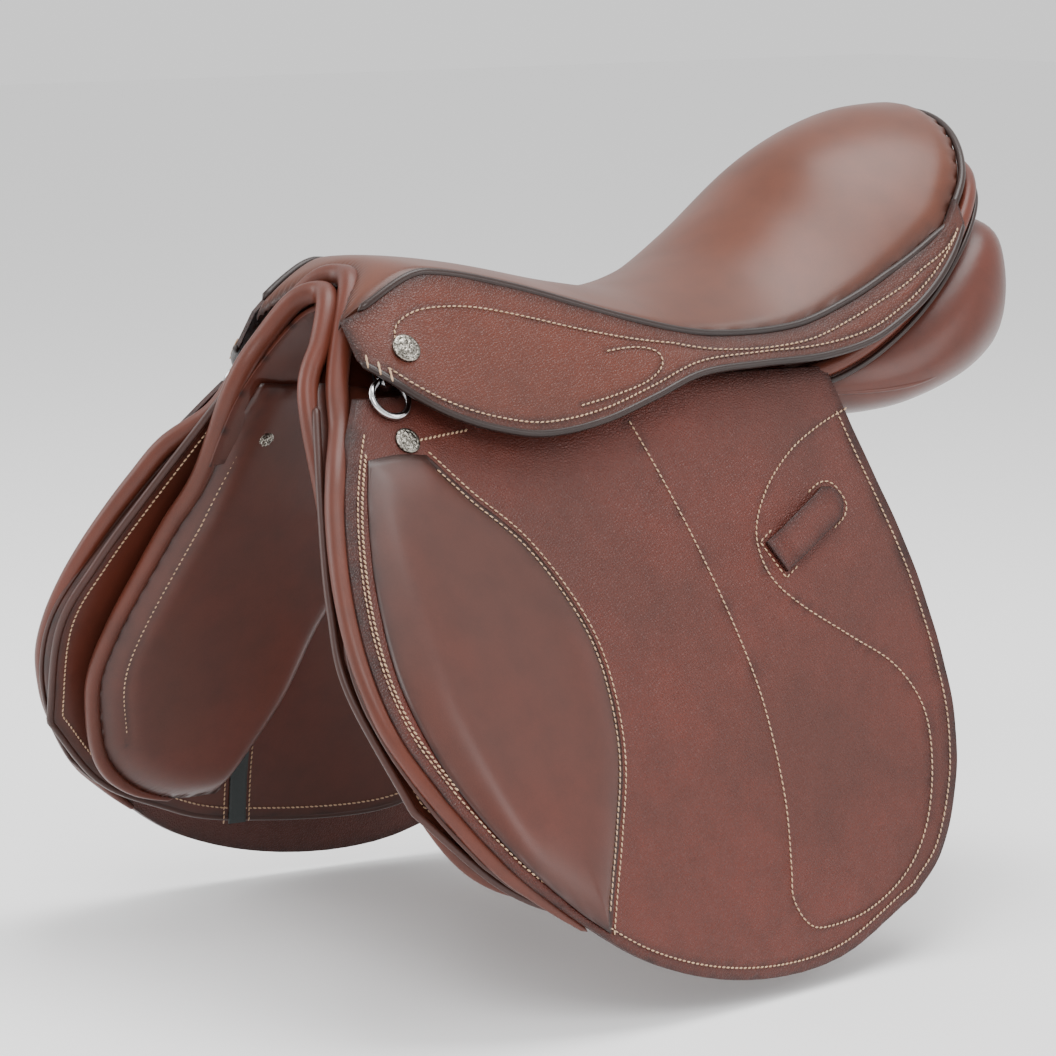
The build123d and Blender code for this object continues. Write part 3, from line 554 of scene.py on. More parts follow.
metalLooks = {
    "brightChrome": {"dark": (0.45, 0.45, 0.46), "light": (0.72, 0.72, 0.73), "scale": 300.0, "rough": 0.08,
                     "bump": 0.02},
    "antiqueNickel": {"dark": (0.06, 0.055, 0.045), "light": (0.42, 0.39, 0.34), "scale": 900.0, "rough": 0.24,
                      "bump": 0.2},
    "forgedSteel": {"dark": (0.30, 0.30, 0.31), "light": (0.50, 0.50, 0.51), "scale": 220.0, "rough": 0.3,
                    "bump": 0.1},
    "treeSteel": {"dark": (0.08, 0.085, 0.10), "light": (0.25, 0.25, 0.27), "scale": 120.0, "rough": 0.42,
                  "bump": 0.15},
}
metal = {name: metalMaterial(name, look) for name, look in metalLooks.items()}


def clothMaterial(name, look):  # canvas, elastic and laminate: a fine repeated cell
    material, tree, shader = newMaterial(name)
    link = tree.links.new
    place = objectPlace(tree)
    waves = []
    for direction in ("Y", "Z"):
        wave = addNode(tree, "ShaderNodeTexWave", {"bands_direction": direction}, Scale=look["weave"],
                       Distortion=0.6, Detail=1.0)
        link(place, wave.inputs["Vector"])
        waves.append(wave.outputs["Fac"])
    height = mathNode(tree, "MULTIPLY", waves[0], waves[1])
    dyeBetween(tree, shader, height, look["dark"], look["light"])
    addBump(tree, shader, height, look["bump"], 0.0004)
    shader.inputs["Roughness"].default_value = look["rough"]
    return material


clothLooks = {
    "canvasWeb": {"dark": (0.25, 0.21, 0.14), "light": (0.50, 0.44, 0.31), "weave": 500.0, "bump": 0.6,
                  "rough": 0.85},
    "elasticBand": {"dark": (0.010, 0.014, 0.014), "light": (0.045, 0.06, 0.06), "weave": 420.0, "bump": 0.6,
                    "rough": 0.6},
    "beechLaminate": {"dark": (0.22, 0.12, 0.055), "light": (0.42, 0.26, 0.13), "weave": 60.0, "bump": 0.1,
                      "rough": 0.45},
}
cloth = {name: clothMaterial(name, look) for name, look in clothLooks.items()}
threadLook = threadMaterial()
print("materials ready")

# flap and its head, one leather
flapForm = {"across": 56, "down": 70, "rim": 0.0011, "thickness": 0.005, "seamIn": 0.0065,
            "seamDip": 0.00035, "seamWidth": 0.0014, "edgeTurn": 0.0008, "edgeReach": 0.003}
flapDrop = 0.300
flapBend = ("flap", (-0.005, -0.025), 0.0)


def sidePoints(rows):           # (share of the length, depth) rows into (y, z)
    return [(along(y), -z * flapDrop) for y, z in rows]


frontRows = sidePoints([(-0.515, -0.055), (-0.560, 0.035), (-0.600, 0.137), (-0.632, 0.26), (-0.646, 0.38),
                        (-0.637, 0.49), (-0.600, 0.597)])
bottomRows = sidePoints([(-0.600, 0.597), (-0.553, 0.69), (-0.495, 0.773), (-0.35, 0.917), (-0.183, 0.990),
                         (-0.01, 0.993), (0.15, 0.913)])
rearRows = sidePoints([(0.187, -0.055), (0.21, 0.10), (0.248, 0.32), (0.267, 0.537), (0.262, 0.66),
                       (0.242, 0.757), (0.205, 0.85), (0.15, 0.913)])
topRows = sidePoints([(-0.515, -0.055), (-0.3, -0.055), (0.187, -0.055)])


def flatLine(rows, count):
    return throughPoints([Vector((y, z, 0)) for y, z in rows], count)


def flatMm(rows, count):        # the same from rows in millimetres
    return flatLine([(y / 1000, z / 1000) for y, z in rows], count)


def flapFace(out):
    def face(y, z, d=1.0, s=1.0):
        dip = flapForm["seamDip"] * math.exp(-(s / flapForm["seamWidth"]) ** 2)
        edgeTurn = flapForm["edgeTurn"] * math.exp(-d / flapForm["edgeReach"])
        return Vector((sideX(y, z, out) - dip - edgeTurn, y, z))
    return face


flapSides = [flatLine(frontRows, 80), flatLine(rearRows, 80), flatLine(topRows, 80), flatLine(bottomRows, 80)]
centre = Vector((along(-0.18), -0.5 * flapDrop, 0))


def movedIn(line, amount, middle=centre):       # the same edge line, a little inside the leather
    out = []
    for i, p in enumerate(line):
        t = (line[min(i + 1, len(line) - 1)] - line[max(i - 1, 0)]).normalized()
        n = Vector((-t.y, t.x, 0))
        if n.dot(middle - p) < 0:
            n = -n
        out.append(p + n * amount)
    return out


flapEdgeLine = flapSides[0][6:] + flapSides[3][1:] + flapSides[1][::-1][1:-6]
flapSeams = [movedIn(flapEdgeLine, flapForm["seamIn"])]
swirlRows = [(-58, -5), (-49, -35), (-38, -76), (-27, -125), (-22, -162), (-23, -210), (-30, -247), (-33, -262),
             (-24, -277), (-6, -280), (26, -276), (58, -262), (80, -240), (93, -208), (95, -175), (80, -149),
             (52, -130), (22, -110), (6, -93), (4, -71), (19, -48), (43, -28), (68, -15), (89, -7)]
swirlLine = flatMm(swirlRows, 260)
bm = skinMesh(flapSides, flapForm["across"], flapForm["down"], flapFace(0.0), flapFace(-flapForm["thickness"]),
              flapForm["rim"], seams=flapSeams + [swirlLine])
flap = toObject(bm, "flapLeatherPiece", leather["flapLeather"])
print("flap", len(flap.data.polygons))
pair(flap, "flapLeather", "saddle", ["flap", "flap_head"], flapBend)


# stitches of the flap, on the flap's own body below the crease
def below(line, z):
    return [p for p in line if p.y < z]


bm = bmesh.new()
onFlap = flapFace(0.0002)
shortRow = [Vector((-0.199, -0.006, 0)), Vector((-0.165, -0.003, 0))]
for line in (flapSeams[0], swirlLine):
    surfaceRow(bm, below(line, 0.014), onFlap, thread, nearSide)
surfaceRow(bm, shortRow, onFlap, heavyThread, nearSide)
flapThread = toObject(bm, "flapStitches", threadLook)
pair(flapThread, "flapStitches", "saddle", (), flapBend)
print("flap stitches", len(flapThread.data.polygons))

# knee pad on the flap's front
kneePadForm = {"across": 44, "down": 64, "puff": 0.0078, "base": 0.0006, "reach": 0.030,
               "ridge": 0.0026, "ridgeWidth": 0.012, "seamDip": 0.0006, "seamWidth": 0.0016}
kneeFront = [(-0.536, 0.045), (-0.566, 0.13), (-0.597, 0.25), (-0.614, 0.38), (-0.607, 0.48), (-0.580, 0.585),
             (-0.525, 0.70), (-0.455, 0.80), (-0.405, 0.855)]
kneeRear = [(-0.448, 0.045), (-0.405, 0.12), (-0.345, 0.21), (-0.300, 0.34), (-0.290, 0.45), (-0.305, 0.58),
            (-0.345, 0.70), (-0.380, 0.79), (-0.405, 0.855)]
kneeTop = [(-0.536, 0.045), (-0.49, 0.040), (-0.448, 0.045)]
kneeSides = [flatLine(sidePoints(kneeFront), 80), flatLine(sidePoints(kneeRear), 80),
             flatLine(sidePoints(kneeTop), 20), [Vector((*sidePoints([(-0.405, 0.855)])[0], 0))] * 20]


def kneeFace(y, z, d=1.0, s=1.0):
    swell = 1 - math.exp(-(d / (kneePadForm["reach"] * 0.42)) ** 1.3)
    fromRidge = y + 0.247 - 0.22 * max(-0.13 - z, 0)
    ridge = kneePadForm["ridge"] * math.exp(-(fromRidge / kneePadForm["ridgeWidth"]) ** 2)
    dip = kneePadForm["seamDip"] * math.exp(-(s / kneePadForm["seamWidth"]) ** 2)
    lift = kneePadForm["base"] + (kneePadForm["puff"] + ridge) * swell - dip
    return Vector((sideX(y, z) + lift, y, z))


def kneeBack(y, z, d=1.0, s=1.0):
    return Vector((sideX(y, z, 0.0003), y, z))


kneeMiddle = Vector((along(-0.46), -0.42 * flapDrop, 0))
kneeRow = movedIn(kneeSides[1], 0.0030, kneeMiddle)
bm = skinMesh(kneeSides, kneePadForm["across"], kneePadForm["down"], kneeFace, kneeBack, 0.0, seams=[kneeRow],
              relax=4)
bmesh.ops.remove_doubles(bm, verts=bm.verts, dist=0.00002)
kneePad = toObject(bm, "kneePadPiece", leather["padLeather"])
for piece in pair(kneePad, "kneePad", "saddle", ["knee_pad"], flapBend):
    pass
border = edgeTree([p for side in kneeSides for p in side])


def onKneePad(y, z):
    return kneeFace(y, z, distanceTo(border, y, z), 1.0) + Vector((0.0002, 0, 0))


bm = bmesh.new()
surfaceRow(bm, kneeRow[2:-3], onKneePad, thread, nearSide)
outerRow = movedIn(kneeSides[1], -0.0026, kneeMiddle)
surfaceRow(bm, outerRow, onFlap, thread, nearSide)
surfaceRow(bm, below(movedIn(flapSides[0], 0.0090), -0.010), onFlap, heavyThread, nearSide)
pair(toObject(bm, "kneePadStitches", threadLook), "kneePadStitches", "saddle", (), flapBend)
print("knee pad")

# seat
seatLine = [(-0.56, -14, 50), (-0.48, 9, 34), (-0.42, 23, 22), (-0.385, 26, 17), (-0.27, 20, 25), (-0.10, 5, 29),
            (0.014, 0, 30), (0.14, 14, 38), (0.23, 42, 52), (0.32, 75, 66), (0.43, 94, 60), (0.52, 98, 50),
            (0.57, 98, 50)]
seatEdge = [(-0.500, 37), (-0.465, 42), (-0.40, 45), (-0.30, 51), (-0.10, 70), (0.03, 83), (0.14, 92), (0.24, 96),
            (0.33, 97), (0.41, 95), (0.48, 76)]
seatForm = {"across": 90, "along": 110, "thickness": 0.003, "roll": 0.006, "cantleRoll": 0.010, "low": 0.061}


def seatZ(x, y):
    share = y / seatLength
    return (seatForm["low"] + smoothAt(seatLine, share, 1) / 1000
            - smoothAt(seatLine, share, 2) / 1000 * (x / 0.1) ** 2)


def seatWidth(y):
    return smoothAt(seatEdge, y / seatLength) / 1000


def seatRoll(y):
    back = min(max((y / seatLength - 0.30) / 0.16, 0), 1)
    return seatForm["roll"] + (seatForm["cantleRoll"] - seatForm["roll"]) * back * back * (3 - 2 * back)


def seatTop(x, y, d=1.0, s=1.0):
    r = seatRoll(y)
    inside = min(max(d, 0), r)
    return Vector((x, y, seatZ(x, y) - (r - math.sqrt(max(r * r - (r - inside) ** 2, 0)))))


def seatUnder(x, y, d=1.0, s=1.0):
    top = seatTop(x, y, d, s)
    return Vector((x * 0.985, y, top.z - seatForm["thickness"]))


def seatSideLine(side):
    return throughPoints([Vector((side * w / 1000, along(share), 0)) for share, w in seatEdge[:-1]], 90)


cornerY = along(seatEdge[0][0])
seatFront = throughPoints([Vector((x, y, 0)) for x, y in ((-0.037, cornerY), (-0.029, cornerY + 0.012),
                          (-0.015, cornerY + 0.026), (0, along(-0.428)), (0.015, cornerY + 0.026),
                          (0.029, cornerY + 0.012), (0.037, cornerY))], 60)
seatBack = throughPoints([Vector((x, along(share), 0)) for x, share in ((-0.095, 0.41), (-0.076, 0.48),
                         (-0.042, 0.528), (0, 0.545), (0.042, 0.528), (0.076, 0.48), (0.095, 0.41))], 70)
seatSides = [seatSideLine(-1), seatSideLine(1), seatFront, seatBack]
bm = skinMesh(seatSides, seatForm["across"], seatForm["along"], seatTop, seatUnder, 0.0007, relax=4)
seat = toObject(bm, "seatCover", leather["seatLeather"])
single(seat, ["seat_leather", "seat_foam"])
print("seat", len(seat.data.polygons))

# skirts over the stirrup bars
skirtEdge = [(-0.500, 36), (-0.460, 20), (-0.410, 7), (-0.348, -2), (-0.285, -6), (-0.197, -2), (-0.11, 8),
             (-0.027, 19), (0.066, 22), (0.158, 24), (0.237, 31), (0.30, 44), (0.35, 58), (0.40, 76), (0.44, 93)]
skirtForm = {"across": 130, "down": 24, "out": 0.018, "thickness": 0.004, "gap": 0.0007, "rim": 0.0012,
             "swell": 0.0012, "swellReach": 0.008, "seamDip": 0.0005, "seamWidth": 0.0015}
skirtStart, skirtEnd = along(skirtEdge[0][0]), along(skirtEdge[-1][0])


def skirtSpan(y):
    share = y / seatLength
    low = smoothAt(skirtEdge, share) / 1000
    width = seatWidth(y)
    high = max(seatZ(width, y) - 0.0033, low + 0.002)
    return low, high, width


def skirtPlace(y, z, out):      # its face leans in to the seat's edge at the top
    low, high, width = skirtSpan(y)
    lean = width + skirtForm["gap"] - sideX(y, high, skirtForm["out"] - skirtForm["thickness"])
    tuck = 0.9 * math.exp(-((y - skirtStart) / 0.009) ** 2) + 0.9 * math.exp(-((y - skirtEnd) / 0.035) ** 2)
    share = (z - low) / (high - low)
    return sideX(y, z, out) + lean * (share + (1 - share) * tuck)


def skirtFace(y, z, d=1.0, s=1.0):
    low, high, width = skirtSpan(y)
    swell = skirtForm["swell"] * (1 - math.exp(-d / skirtForm["swellReach"]))
    dip = skirtForm["seamDip"] * math.exp(-(s / skirtForm["seamWidth"]) ** 2)
    return Vector((skirtPlace(y, z, skirtForm["out"]) + swell - dip, y, z))


def skirtBack(y, z, d=1.0, s=1.0):
    return Vector((skirtPlace(y, z, skirtForm["out"] - skirtForm["thickness"]), y, z))


skirtYs = [skirtStart + (skirtEnd - skirtStart) * i / 139 for i in range(140)]
skirtLow = [Vector((y, skirtSpan(y)[0], 0)) for y in skirtYs]
skirtHigh = [Vector((y, skirtSpan(y)[1], 0)) for y in skirtYs]
skirtSides = [[skirtHigh[0].lerp(skirtLow[0], i / 20) for i in range(21)],
              [skirtHigh[-1].lerp(skirtLow[-1], i / 20) for i in range(21)], skirtHigh, skirtLow]
skirtRow = [Vector((p.x, p.y + 0.0062, 0)) for p in skirtLow[3:-4]]
hookLine = flatMm([(-202, 47), (-199, 54), (-190, 60), (-176, 63), (-150, 62), (-120, 56), (-80, 46), (-40, 38),
                   (0, 34), (40, 35), (80, 41), (110, 49), (140, 62), (165, 78), (186, 94)], 140)
hookLine = [Vector((p.x, min(p.y, skirtSpan(p.x)[1] - 0.007), 0)) for p in hookLine]
curlLine = flatMm([(-70, 34), (-50, 35), (-36, 32), (-36, 25), (-50, 17), (-75, 11), (-100, 7)], 60)
bm = skinMesh(skirtSides, skirtForm["across"], skirtForm["down"], skirtFace, skirtBack, skirtForm["rim"],
              seams=[skirtRow, hookLine, curlLine])
skirt = toObject(bm, "skirtPiece", leather["skirtLeather"])
skirtBend = ("skirt", (0.049, 0.038), 0.045)
pair(skirt, "skirtLeather", "saddle", ["skirt", "skirt_crown"], skirtBend)


def onSkirt(y, z):
    return skirtFace(y, z, 0.02, 1.0) + Vector((0.0001, 0, 0))


bm = bmesh.new()
for line in (skirtRow, hookLine, curlLine):
    surfaceRow(bm, line, onSkirt, thread, nearSide)
for step in range(3):           # whip stitches at the front corner
    y = skirtStart + 0.0015 + 0.0035 * step
    lowHere = skirtSpan(y)[0]
    surfaceRow(bm, [Vector((y, lowHere - 0.001, 0)), Vector((y + 0.001, lowHere + 0.0045, 0))], onSkirt,
               dict(heavyThread, pitch=0.004, length=0.0055, slant=0.0), nearSide)
pair(toObject(bm, "skirtStitches", threadLook), "skirtStitches", "saddle", (), skirtBend)
edgePoints = [Vector((skirtPlace(p.x, p.y, skirtForm["out"] - 0.0016), p.x, p.y)) for p in skirtLow]
skirtRim = tubeAlong("skirtRim", edgePoints, 0.0022, leather["edgePaint"])
pair(skirtRim, "skirtRim", "saddle", (), skirtBend)
print("skirts")

# welt round the seat
weltForm = {"radius": 0.0024, "out": 0.0026, "drop": 0.0022}


def weltPoints(out, drop):
    rows = []
    for p in seatSides[1][2:] + seatBack[::-1][1:]:
        centre2 = Vector((0, min(p.y, along(0.2)), 0))
        outward = (Vector((p.x, p.y, 0)) - centre2)
        outward.z = 0
        if p.y < along(0.3):
            outward = Vector((1, 0, 0))
        q = Vector((p.x, p.y, 0)) + outward.normalized() * out
        rows.append(Vector((q.x, q.y, seatZ(p.x, p.y) - drop - (seatRoll(p.y) - seatForm["roll"]))))
    return rows


halfWelt = [p for p in weltPoints(weltForm["out"], weltForm["drop"]) if p.x >= 0]
wholeWelt = halfWelt + mirrored(halfWelt)
welt = tubeAlong("seatWelt", wholeWelt, weltForm["radius"], leather["edgePaint"])
single(welt)
print("welt")

# cantle facing
facingForm = {"across": 100, "down": 10, "height": 0.040, "puff": 0.0030, "thickness": 0.003,
              "steps": 120}
facingPlan = seatSides[1][-16:] + seatBack[::-1][1:] + seatSides[0][-16:][::-1][1:]
facingPlan = evenly(facingPlan, facingForm["steps"] + 1)


def facingAt(across, depth, puff):
    k, rest = spotOn(across, facingForm["steps"])
    p = facingPlan[k].lerp(facingPlan[k + 1], rest)
    ahead = (facingPlan[k + 1] - facingPlan[k]).normalized()
    outward = Vector((-ahead.y, ahead.x, 0))
    if outward.dot(p - Vector((0, along(0.2), 0))) < 0:
        outward = -outward
    start = seatRoll(p.y) - 0.002
    fall = start + (facingForm["height"] - start) * depth
    q = Vector((p.x, p.y, 0)) - outward * (0.0003 - puff)
    return Vector((q.x, q.y, seatZ(p.x, p.y) - fall))


def facingFace(a, b, d=1.0, s=1.0):
    bulge = facingForm["puff"] * math.sin(math.pi * min(max(b, 0), 1)) ** 0.6
    ends = min(1, 12 * min(a, 1 - a) + 0.05)
    return facingAt(a, b, bulge * ends)


def facingBack(a, b, d=1.0, s=1.0):
    return facingAt(a, b, -facingForm["thickness"])


unitSides = [[Vector((0, i / 10, 0)) for i in range(11)], [Vector((1, i / 10, 0)) for i in range(11)],
             [Vector((i / 10, 0, 0)) for i in range(11)], [Vector((i / 10, 1, 0)) for i in range(11)]]
bm = skinMesh(unitSides, facingForm["across"], facingForm["down"], facingFace, facingBack, 0.0006)
single(toObject(bm, "cantleFacing", leather["seatLeather"]), ["cantle_facing"])
print("cantle facing")

# sweat flaps behind the flaps
sweatForm = {"across": 50, "down": 60, "out": -0.022, "thickness": 0.004, "rim": 0.0008, "row": 0.006}
sweatFront = sidePoints([(-0.53, -0.08), (-0.60, 0.15), (-0.637, 0.29), (-0.655, 0.42), (-0.62, 0.62)])
sweatBottom = sidePoints([(-0.62, 0.62), (-0.52, 0.76), (-0.42, 0.83), (-0.30, 0.88), (-0.05, 0.90), (0.09, 0.80)])
sweatRear = sidePoints([(0.13, 0.06), (0.145, 0.30), (0.14, 0.50), (0.125, 0.68), (0.09, 0.80)])
sweatTop = sidePoints([(-0.53, -0.08), (-0.2, -0.01), (0.13, 0.06)])
sweatSides = [flatLine(sweatFront, 70), flatLine(sweatRear, 70), flatLine(sweatTop, 60), flatLine(sweatBottom, 60)]


def layerFace(out):
    def face(y, z, d=1.0, s=1.0):
        return Vector((sideX(y, z, out), y, z))
    return face


sweatEdge = sweatSides[0] + sweatSides[3][1:] + sweatSides[1][::-1][1:]
sweatRow = movedIn(sweatEdge, sweatForm["row"])
bm = skinMesh(sweatSides, sweatForm["across"], sweatForm["down"], layerFace(sweatForm["out"]),
              layerFace(sweatForm["out"] - sweatForm["thickness"]), sweatForm["rim"], seams=[sweatRow])
pair(toObject(bm, "sweatPiece", leather["panelLeather"]), "sweatFlap", "saddle", ["sweat_flap"])
sweatBound = ontoSide(sweatEdge[4:-2], sweatForm["out"] - 0.002)
pair(tubeAlong("sweatEdgePiece", sweatBound, 0.0024, leather["bindingLeather"]), "sweatEdge", "saddle")
bm = bmesh.new()
sweatInner = layerFace(sweatForm["out"] - sweatForm["thickness"] - 0.0002)
surfaceRow(bm, sweatRow[6:-4], layerFace(sweatForm["out"] + 0.0002), thread, nearSide)
surfaceRow(bm, sweatRow[6:-4], sweatInner, thread, -nearSide)
pair(toObject(bm, "sweatStitches", threadLook), "sweatStitches", "saddle")
print("sweat flaps")

# knee blocks, stuffed, between the flaps
blockForm = {"across": 26, "down": 50, "front": -0.0068, "back": -0.0212, "round": 0.011}
blockFront = sidePoints([(-0.530, 0.02), (-0.575, 0.10), (-0.622, 0.24), (-0.655, 0.38), (-0.645, 0.50),
                         (-0.605, 0.62), (-0.555, 0.715)])
blockRear = sidePoints([(-0.46, 0.02), (-0.465, 0.2), (-0.475, 0.40), (-0.465, 0.60), (-0.44, 0.80)])
blockTop = sidePoints([(-0.530, 0.02), (-0.495, 0.02), (-0.46, 0.02)])
blockEnd = sidePoints([(-0.555, 0.715), (-0.50, 0.775), (-0.44, 0.80)])
blockSides = [flatLine(blockFront, 60), flatLine(blockRear, 60), flatLine(blockTop, 20), flatLine(blockEnd, 30)]


def blockSkin(face):
    middle = (blockForm["front"] + blockForm["back"]) / 2
    half = (blockForm["front"] - blockForm["back"]) / 2
    def skin(y, z, d=1.0, s=1.0):
        r = blockForm["round"]
        share = math.sqrt(max(1 - (1 - min(d, r) / r) ** 2, 0.0025))
        return Vector((sideX(y, z, middle + face * half * share), y, z))
    return skin


bm = skinMesh(blockSides, blockForm["across"], blockForm["down"], blockSkin(1), blockSkin(-1), 0.0)
block = toObject(bm, "kneeBlockPiece", leather["panelLeather"])
for piece in pair(block, "kneeBlock", "saddle", ["knee_block"]):
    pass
pipeLine = ontoSide(blockSides[0] + blockSides[3][1:], -0.0135, 0.0004)
pair(tubeAlong("blockPipingPiece", pipeLine, 0.0015, leather["bindingLeather"]), "blockPiping", "saddle")
print("knee blocks")

# wool panels
panelForm = {"around": 44, "along": 90, "bulge": 0.010, "gullet": 0.032, "front": -0.037, "thick": 0.020,
             "roundFront": 0.016, "swell": 0.0085, "seamDip": 0.0022, "seamWidth": 0.0024}
panelRows = [(-0.36, 44, 16, 20, 38), (-0.25, 46, 8, 12, 36), (-0.10, 54, 0, 2, 28), (0.0, 61, -4, -2, 20),
             (0.10, 71, -8, -6, 20), (0.20, 94, -10, -8, 26), (0.32, 108, -8, -8, 44), (0.43, 107, 4, -2, 70),
             (0.50, 97, 14, 6, 88), (0.555, 84, 24, 14, 92), (0.60, 68, 36, 32, 92)]


def panelRing(share, fit):
    outer, outerLow, innerLow, outerTop = [smoothAt(panelRows, share, c) / 1000 for c in (1, 2, 3, 4)]
    y = along(share)
    inner = panelForm["gullet"]
    under = seatZ(inner, y) - 0.031
    innerTop = max(min(under, 0.098), innerLow + 0.012)
    outerTop = max(min(outerTop, seatZ(outer, y) - 0.030), outerLow + 0.013)
    middle = (inner + outer) / 2
    corner = [Vector((inner, y, innerTop - 0.004)), Vector((inner + 0.004, y, innerTop)),
              Vector((middle, y, (innerTop + outerTop) / 2 + 0.002)), Vector((outer - 0.006, y, outerTop)),
              Vector((outer, y, outerTop - 0.006)),
              Vector((outer + panelForm["bulge"] * 0.7, y, outerTop * 0.45 + outerLow * 0.55)),
              Vector((outer + 0.002, y, outerLow + 0.003)), Vector((outer - 0.010, y, outerLow - 0.004)),
              Vector((middle, y, (outerLow + innerLow) / 2 - panelForm["bulge"] * 0.8)),
              Vector((inner + 0.008, y, innerLow - 0.001)), Vector((inner, y, innerLow + 0.005))]
    loop = throughPoints(corner + [corner[0]], panelForm["around"] + 1)[:-1]
    core = Vector((middle, y, (innerTop + outerTop + outerLow + innerLow) / 4))
    return [core + (p - core) * fit for p in loop]


panelStart, panelEnd = -0.36, 0.60
rings = []
for i in range(panelForm["along"] + 1):
    t = i / panelForm["along"]
    share = panelStart + (panelEnd - panelStart) * t
    toEnd = min((1 - t) / 0.09, t / 0.05, 1)
    rings.append(panelRing(share, math.sqrt(max(1 - (1 - toEnd) ** 2, 0.03))))
cushion = gridTube("panelCushionPiece", rings, leather["panelLeather"], relax=12)
print("panel cushions", len(cushion.data.polygons))
for piece in pair(cushion, "panelCushion", "saddle"):
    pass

frontFlat = {"across": 70, "down": 80}
padFront = sidePoints([(-0.515, -0.06), (-0.545, 0.08), (-0.575, 0.25), (-0.600, 0.50), (-0.56, 0.68)])
padEnd = sidePoints([(-0.56, 0.68), (-0.52, 0.745), (-0.47, 0.79), (-0.42, 0.81), (-0.36, 0.81)])
padRear = sidePoints([(-0.05, -0.02), (-0.06, 0.10), (-0.14, 0.20), (-0.22, 0.30), (-0.275, 0.45),
                      (-0.30, 0.62), (-0.36, 0.81)])
padTop = sidePoints([(-0.515, -0.06), (-0.3, -0.03), (-0.05, -0.02)])
padSides = [flatLine(padFront, 60), flatLine(padRear, 60), flatLine(padTop, 60), flatLine(padEnd, 40)]
padRow = movedIn(padSides[0], 0.010)


def padInner(y, z, d=1.0, s=1.0):
    thick = panelForm["thick"] * min(max(0.35 + (-z) / 0.10, 0.35), 1)
    r = panelForm["roundFront"]
    share = max(1 - (1 - min(d, r) / r) ** 2, 0.001) ** 0.75
    dip = panelForm["seamDip"] * math.exp(-(s / panelForm["seamWidth"]) ** 2)
    return Vector((sideX(y, z, panelForm["front"]) - thick * share + dip, y, z))


def padOuter(y, z, d=1.0, s=1.0):       # swells against the sweat flap
    r = panelForm["roundFront"]
    share = max(1 - (1 - min(d, r) / r) ** 2, 0.0) ** 0.75
    return Vector((sideX(y, z, panelForm["front"]) + panelForm["swell"] * share, y, z))


bm = skinMesh(padSides, frontFlat["across"], frontFlat["down"], padInner, padOuter, 0.0, seams=[padRow],
              relax=10)
frontPad = toObject(bm, "panelFrontPiece", leather["panelLeather"])
for piece in pair(frontPad, "panelFront", "saddle", ["panel"]):
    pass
bm = bmesh.new()
surfaceRow(bm, padRow[3:-2], lambda y, z: padInner(y, z, 0.010, 0.0) - Vector((0.0002, 0, 0)), thread, -nearSide)
pair(toObject(bm, "panelFrontStitches", threadLook), "panelFrontStitches", "saddle")

seamLine = []
for i in range(60):
    share = 0.02 + 0.45 * i / 59
    y = along(share)
    outer, low = [smoothAt(panelRows, share, c) / 1000 for c in (1, 2)]
    seamLine.append(Vector((outer + 0.0022 - 0.006 * (i / 59) ** 4, y, low + 0.010)))
pair(tubeAlong("panelPipingPiece", seamLine, 0.0014, leather["panelLeather"]), "panelPiping", "saddle")
print("panels")

# elastic stripe on the off and near sweat flaps
stripeForm = {"width": 0.011, "thickness": 0.0012}
stripeRows = [(-118, -110), (-128, -134), (-139, -164), (-143, -199), (-138, -232), (-129, -272)]
stripe = throughPoints([Vector((y / 1000, z / 1000 + 0.004, 0)) for y, z in stripeRows], 40)
stripeSides = [[p - Vector((stripeForm["width"] / 2, 0, 0)) for p in stripe],
               [p + Vector((stripeForm["width"] / 2, 0, 0)) for p in stripe],
               [stripe[0] + Vector((stripeForm["width"] * (t - 0.5), 0, 0)) for t in (0, 0.5, 1)],
               [stripe[-1] + Vector((stripeForm["width"] * (t - 0.5), 0, 0)) for t in (0, 0.5, 1)]]
stripeOut = sweatForm["out"] - sweatForm["thickness"] - 0.0003
bm = skinMesh(stripeSides, 6, 40, layerFace(stripeOut - stripeForm["thickness"]), layerFace(stripeOut), 0.0)
pair(toObject(bm, "elasticPiece", cloth["elasticBand"]), "elasticStripe", "saddle")
bm = bmesh.new()
for shift in (-0.0085, 0.0085):
    line = [p + Vector((shift, 0, 0)) for p in stripe]
    surfaceRow(bm, line, sweatInner, thread, -nearSide)
pair(toObject(bm, "elasticStitches", threadLook), "elasticStitches", "saddle")
print("stripe")

# rolls round the head
rollForm = {"panel": 0.0062, "seat": 0.0066}


def archRoll(name, apex, nearPoints, edgeLine, radius, slim, material):
    near = [Vector(p) / 1000 for p in nearPoints] + edgeLine[::8] + [edgeLine[-1]]
    line = throughPoints(mirrored(near) + [Vector(apex) / 1000] + near, 420)

    def thin(t):                # full over the head, slimmer below, tapered out at both ends
        outwards = abs(t - 0.5) * 2
        body = slim + (1 - slim) * math.exp(-(outwards / 0.45) ** 2)
        return body * (0.3 + 0.7 * min((1 - outwards) / 0.12, 1))
    return tubeAlong(name, line, radius, material, taper=thin, around=16)


flapFront = ontoSide(flapSides[0][16:] + flapSides[3][1:24], -0.0085, 0.001)
padFrontLine = ontoSide(padSides[0][14:] + padSides[3][1:30], -0.040, 0.002)
single(archRoll("panelRoll", (0, -204, 69), [(14, -211, 64), (25, -224, 44), (33, -239, 18)], padFrontLine,
                rollForm["panel"], 0.72, leather["rollLeather"]), ["panel_roll"])
single(archRoll("seatRoll", (0, -190, 77), [(15, -196, 73), (28, -211, 52), (42, -226, 24), (57, -236, 0)],
                flapFront, rollForm["seat"], 0.75, leather["rollLeather"]), ["seat_roll"])
print("rolls")

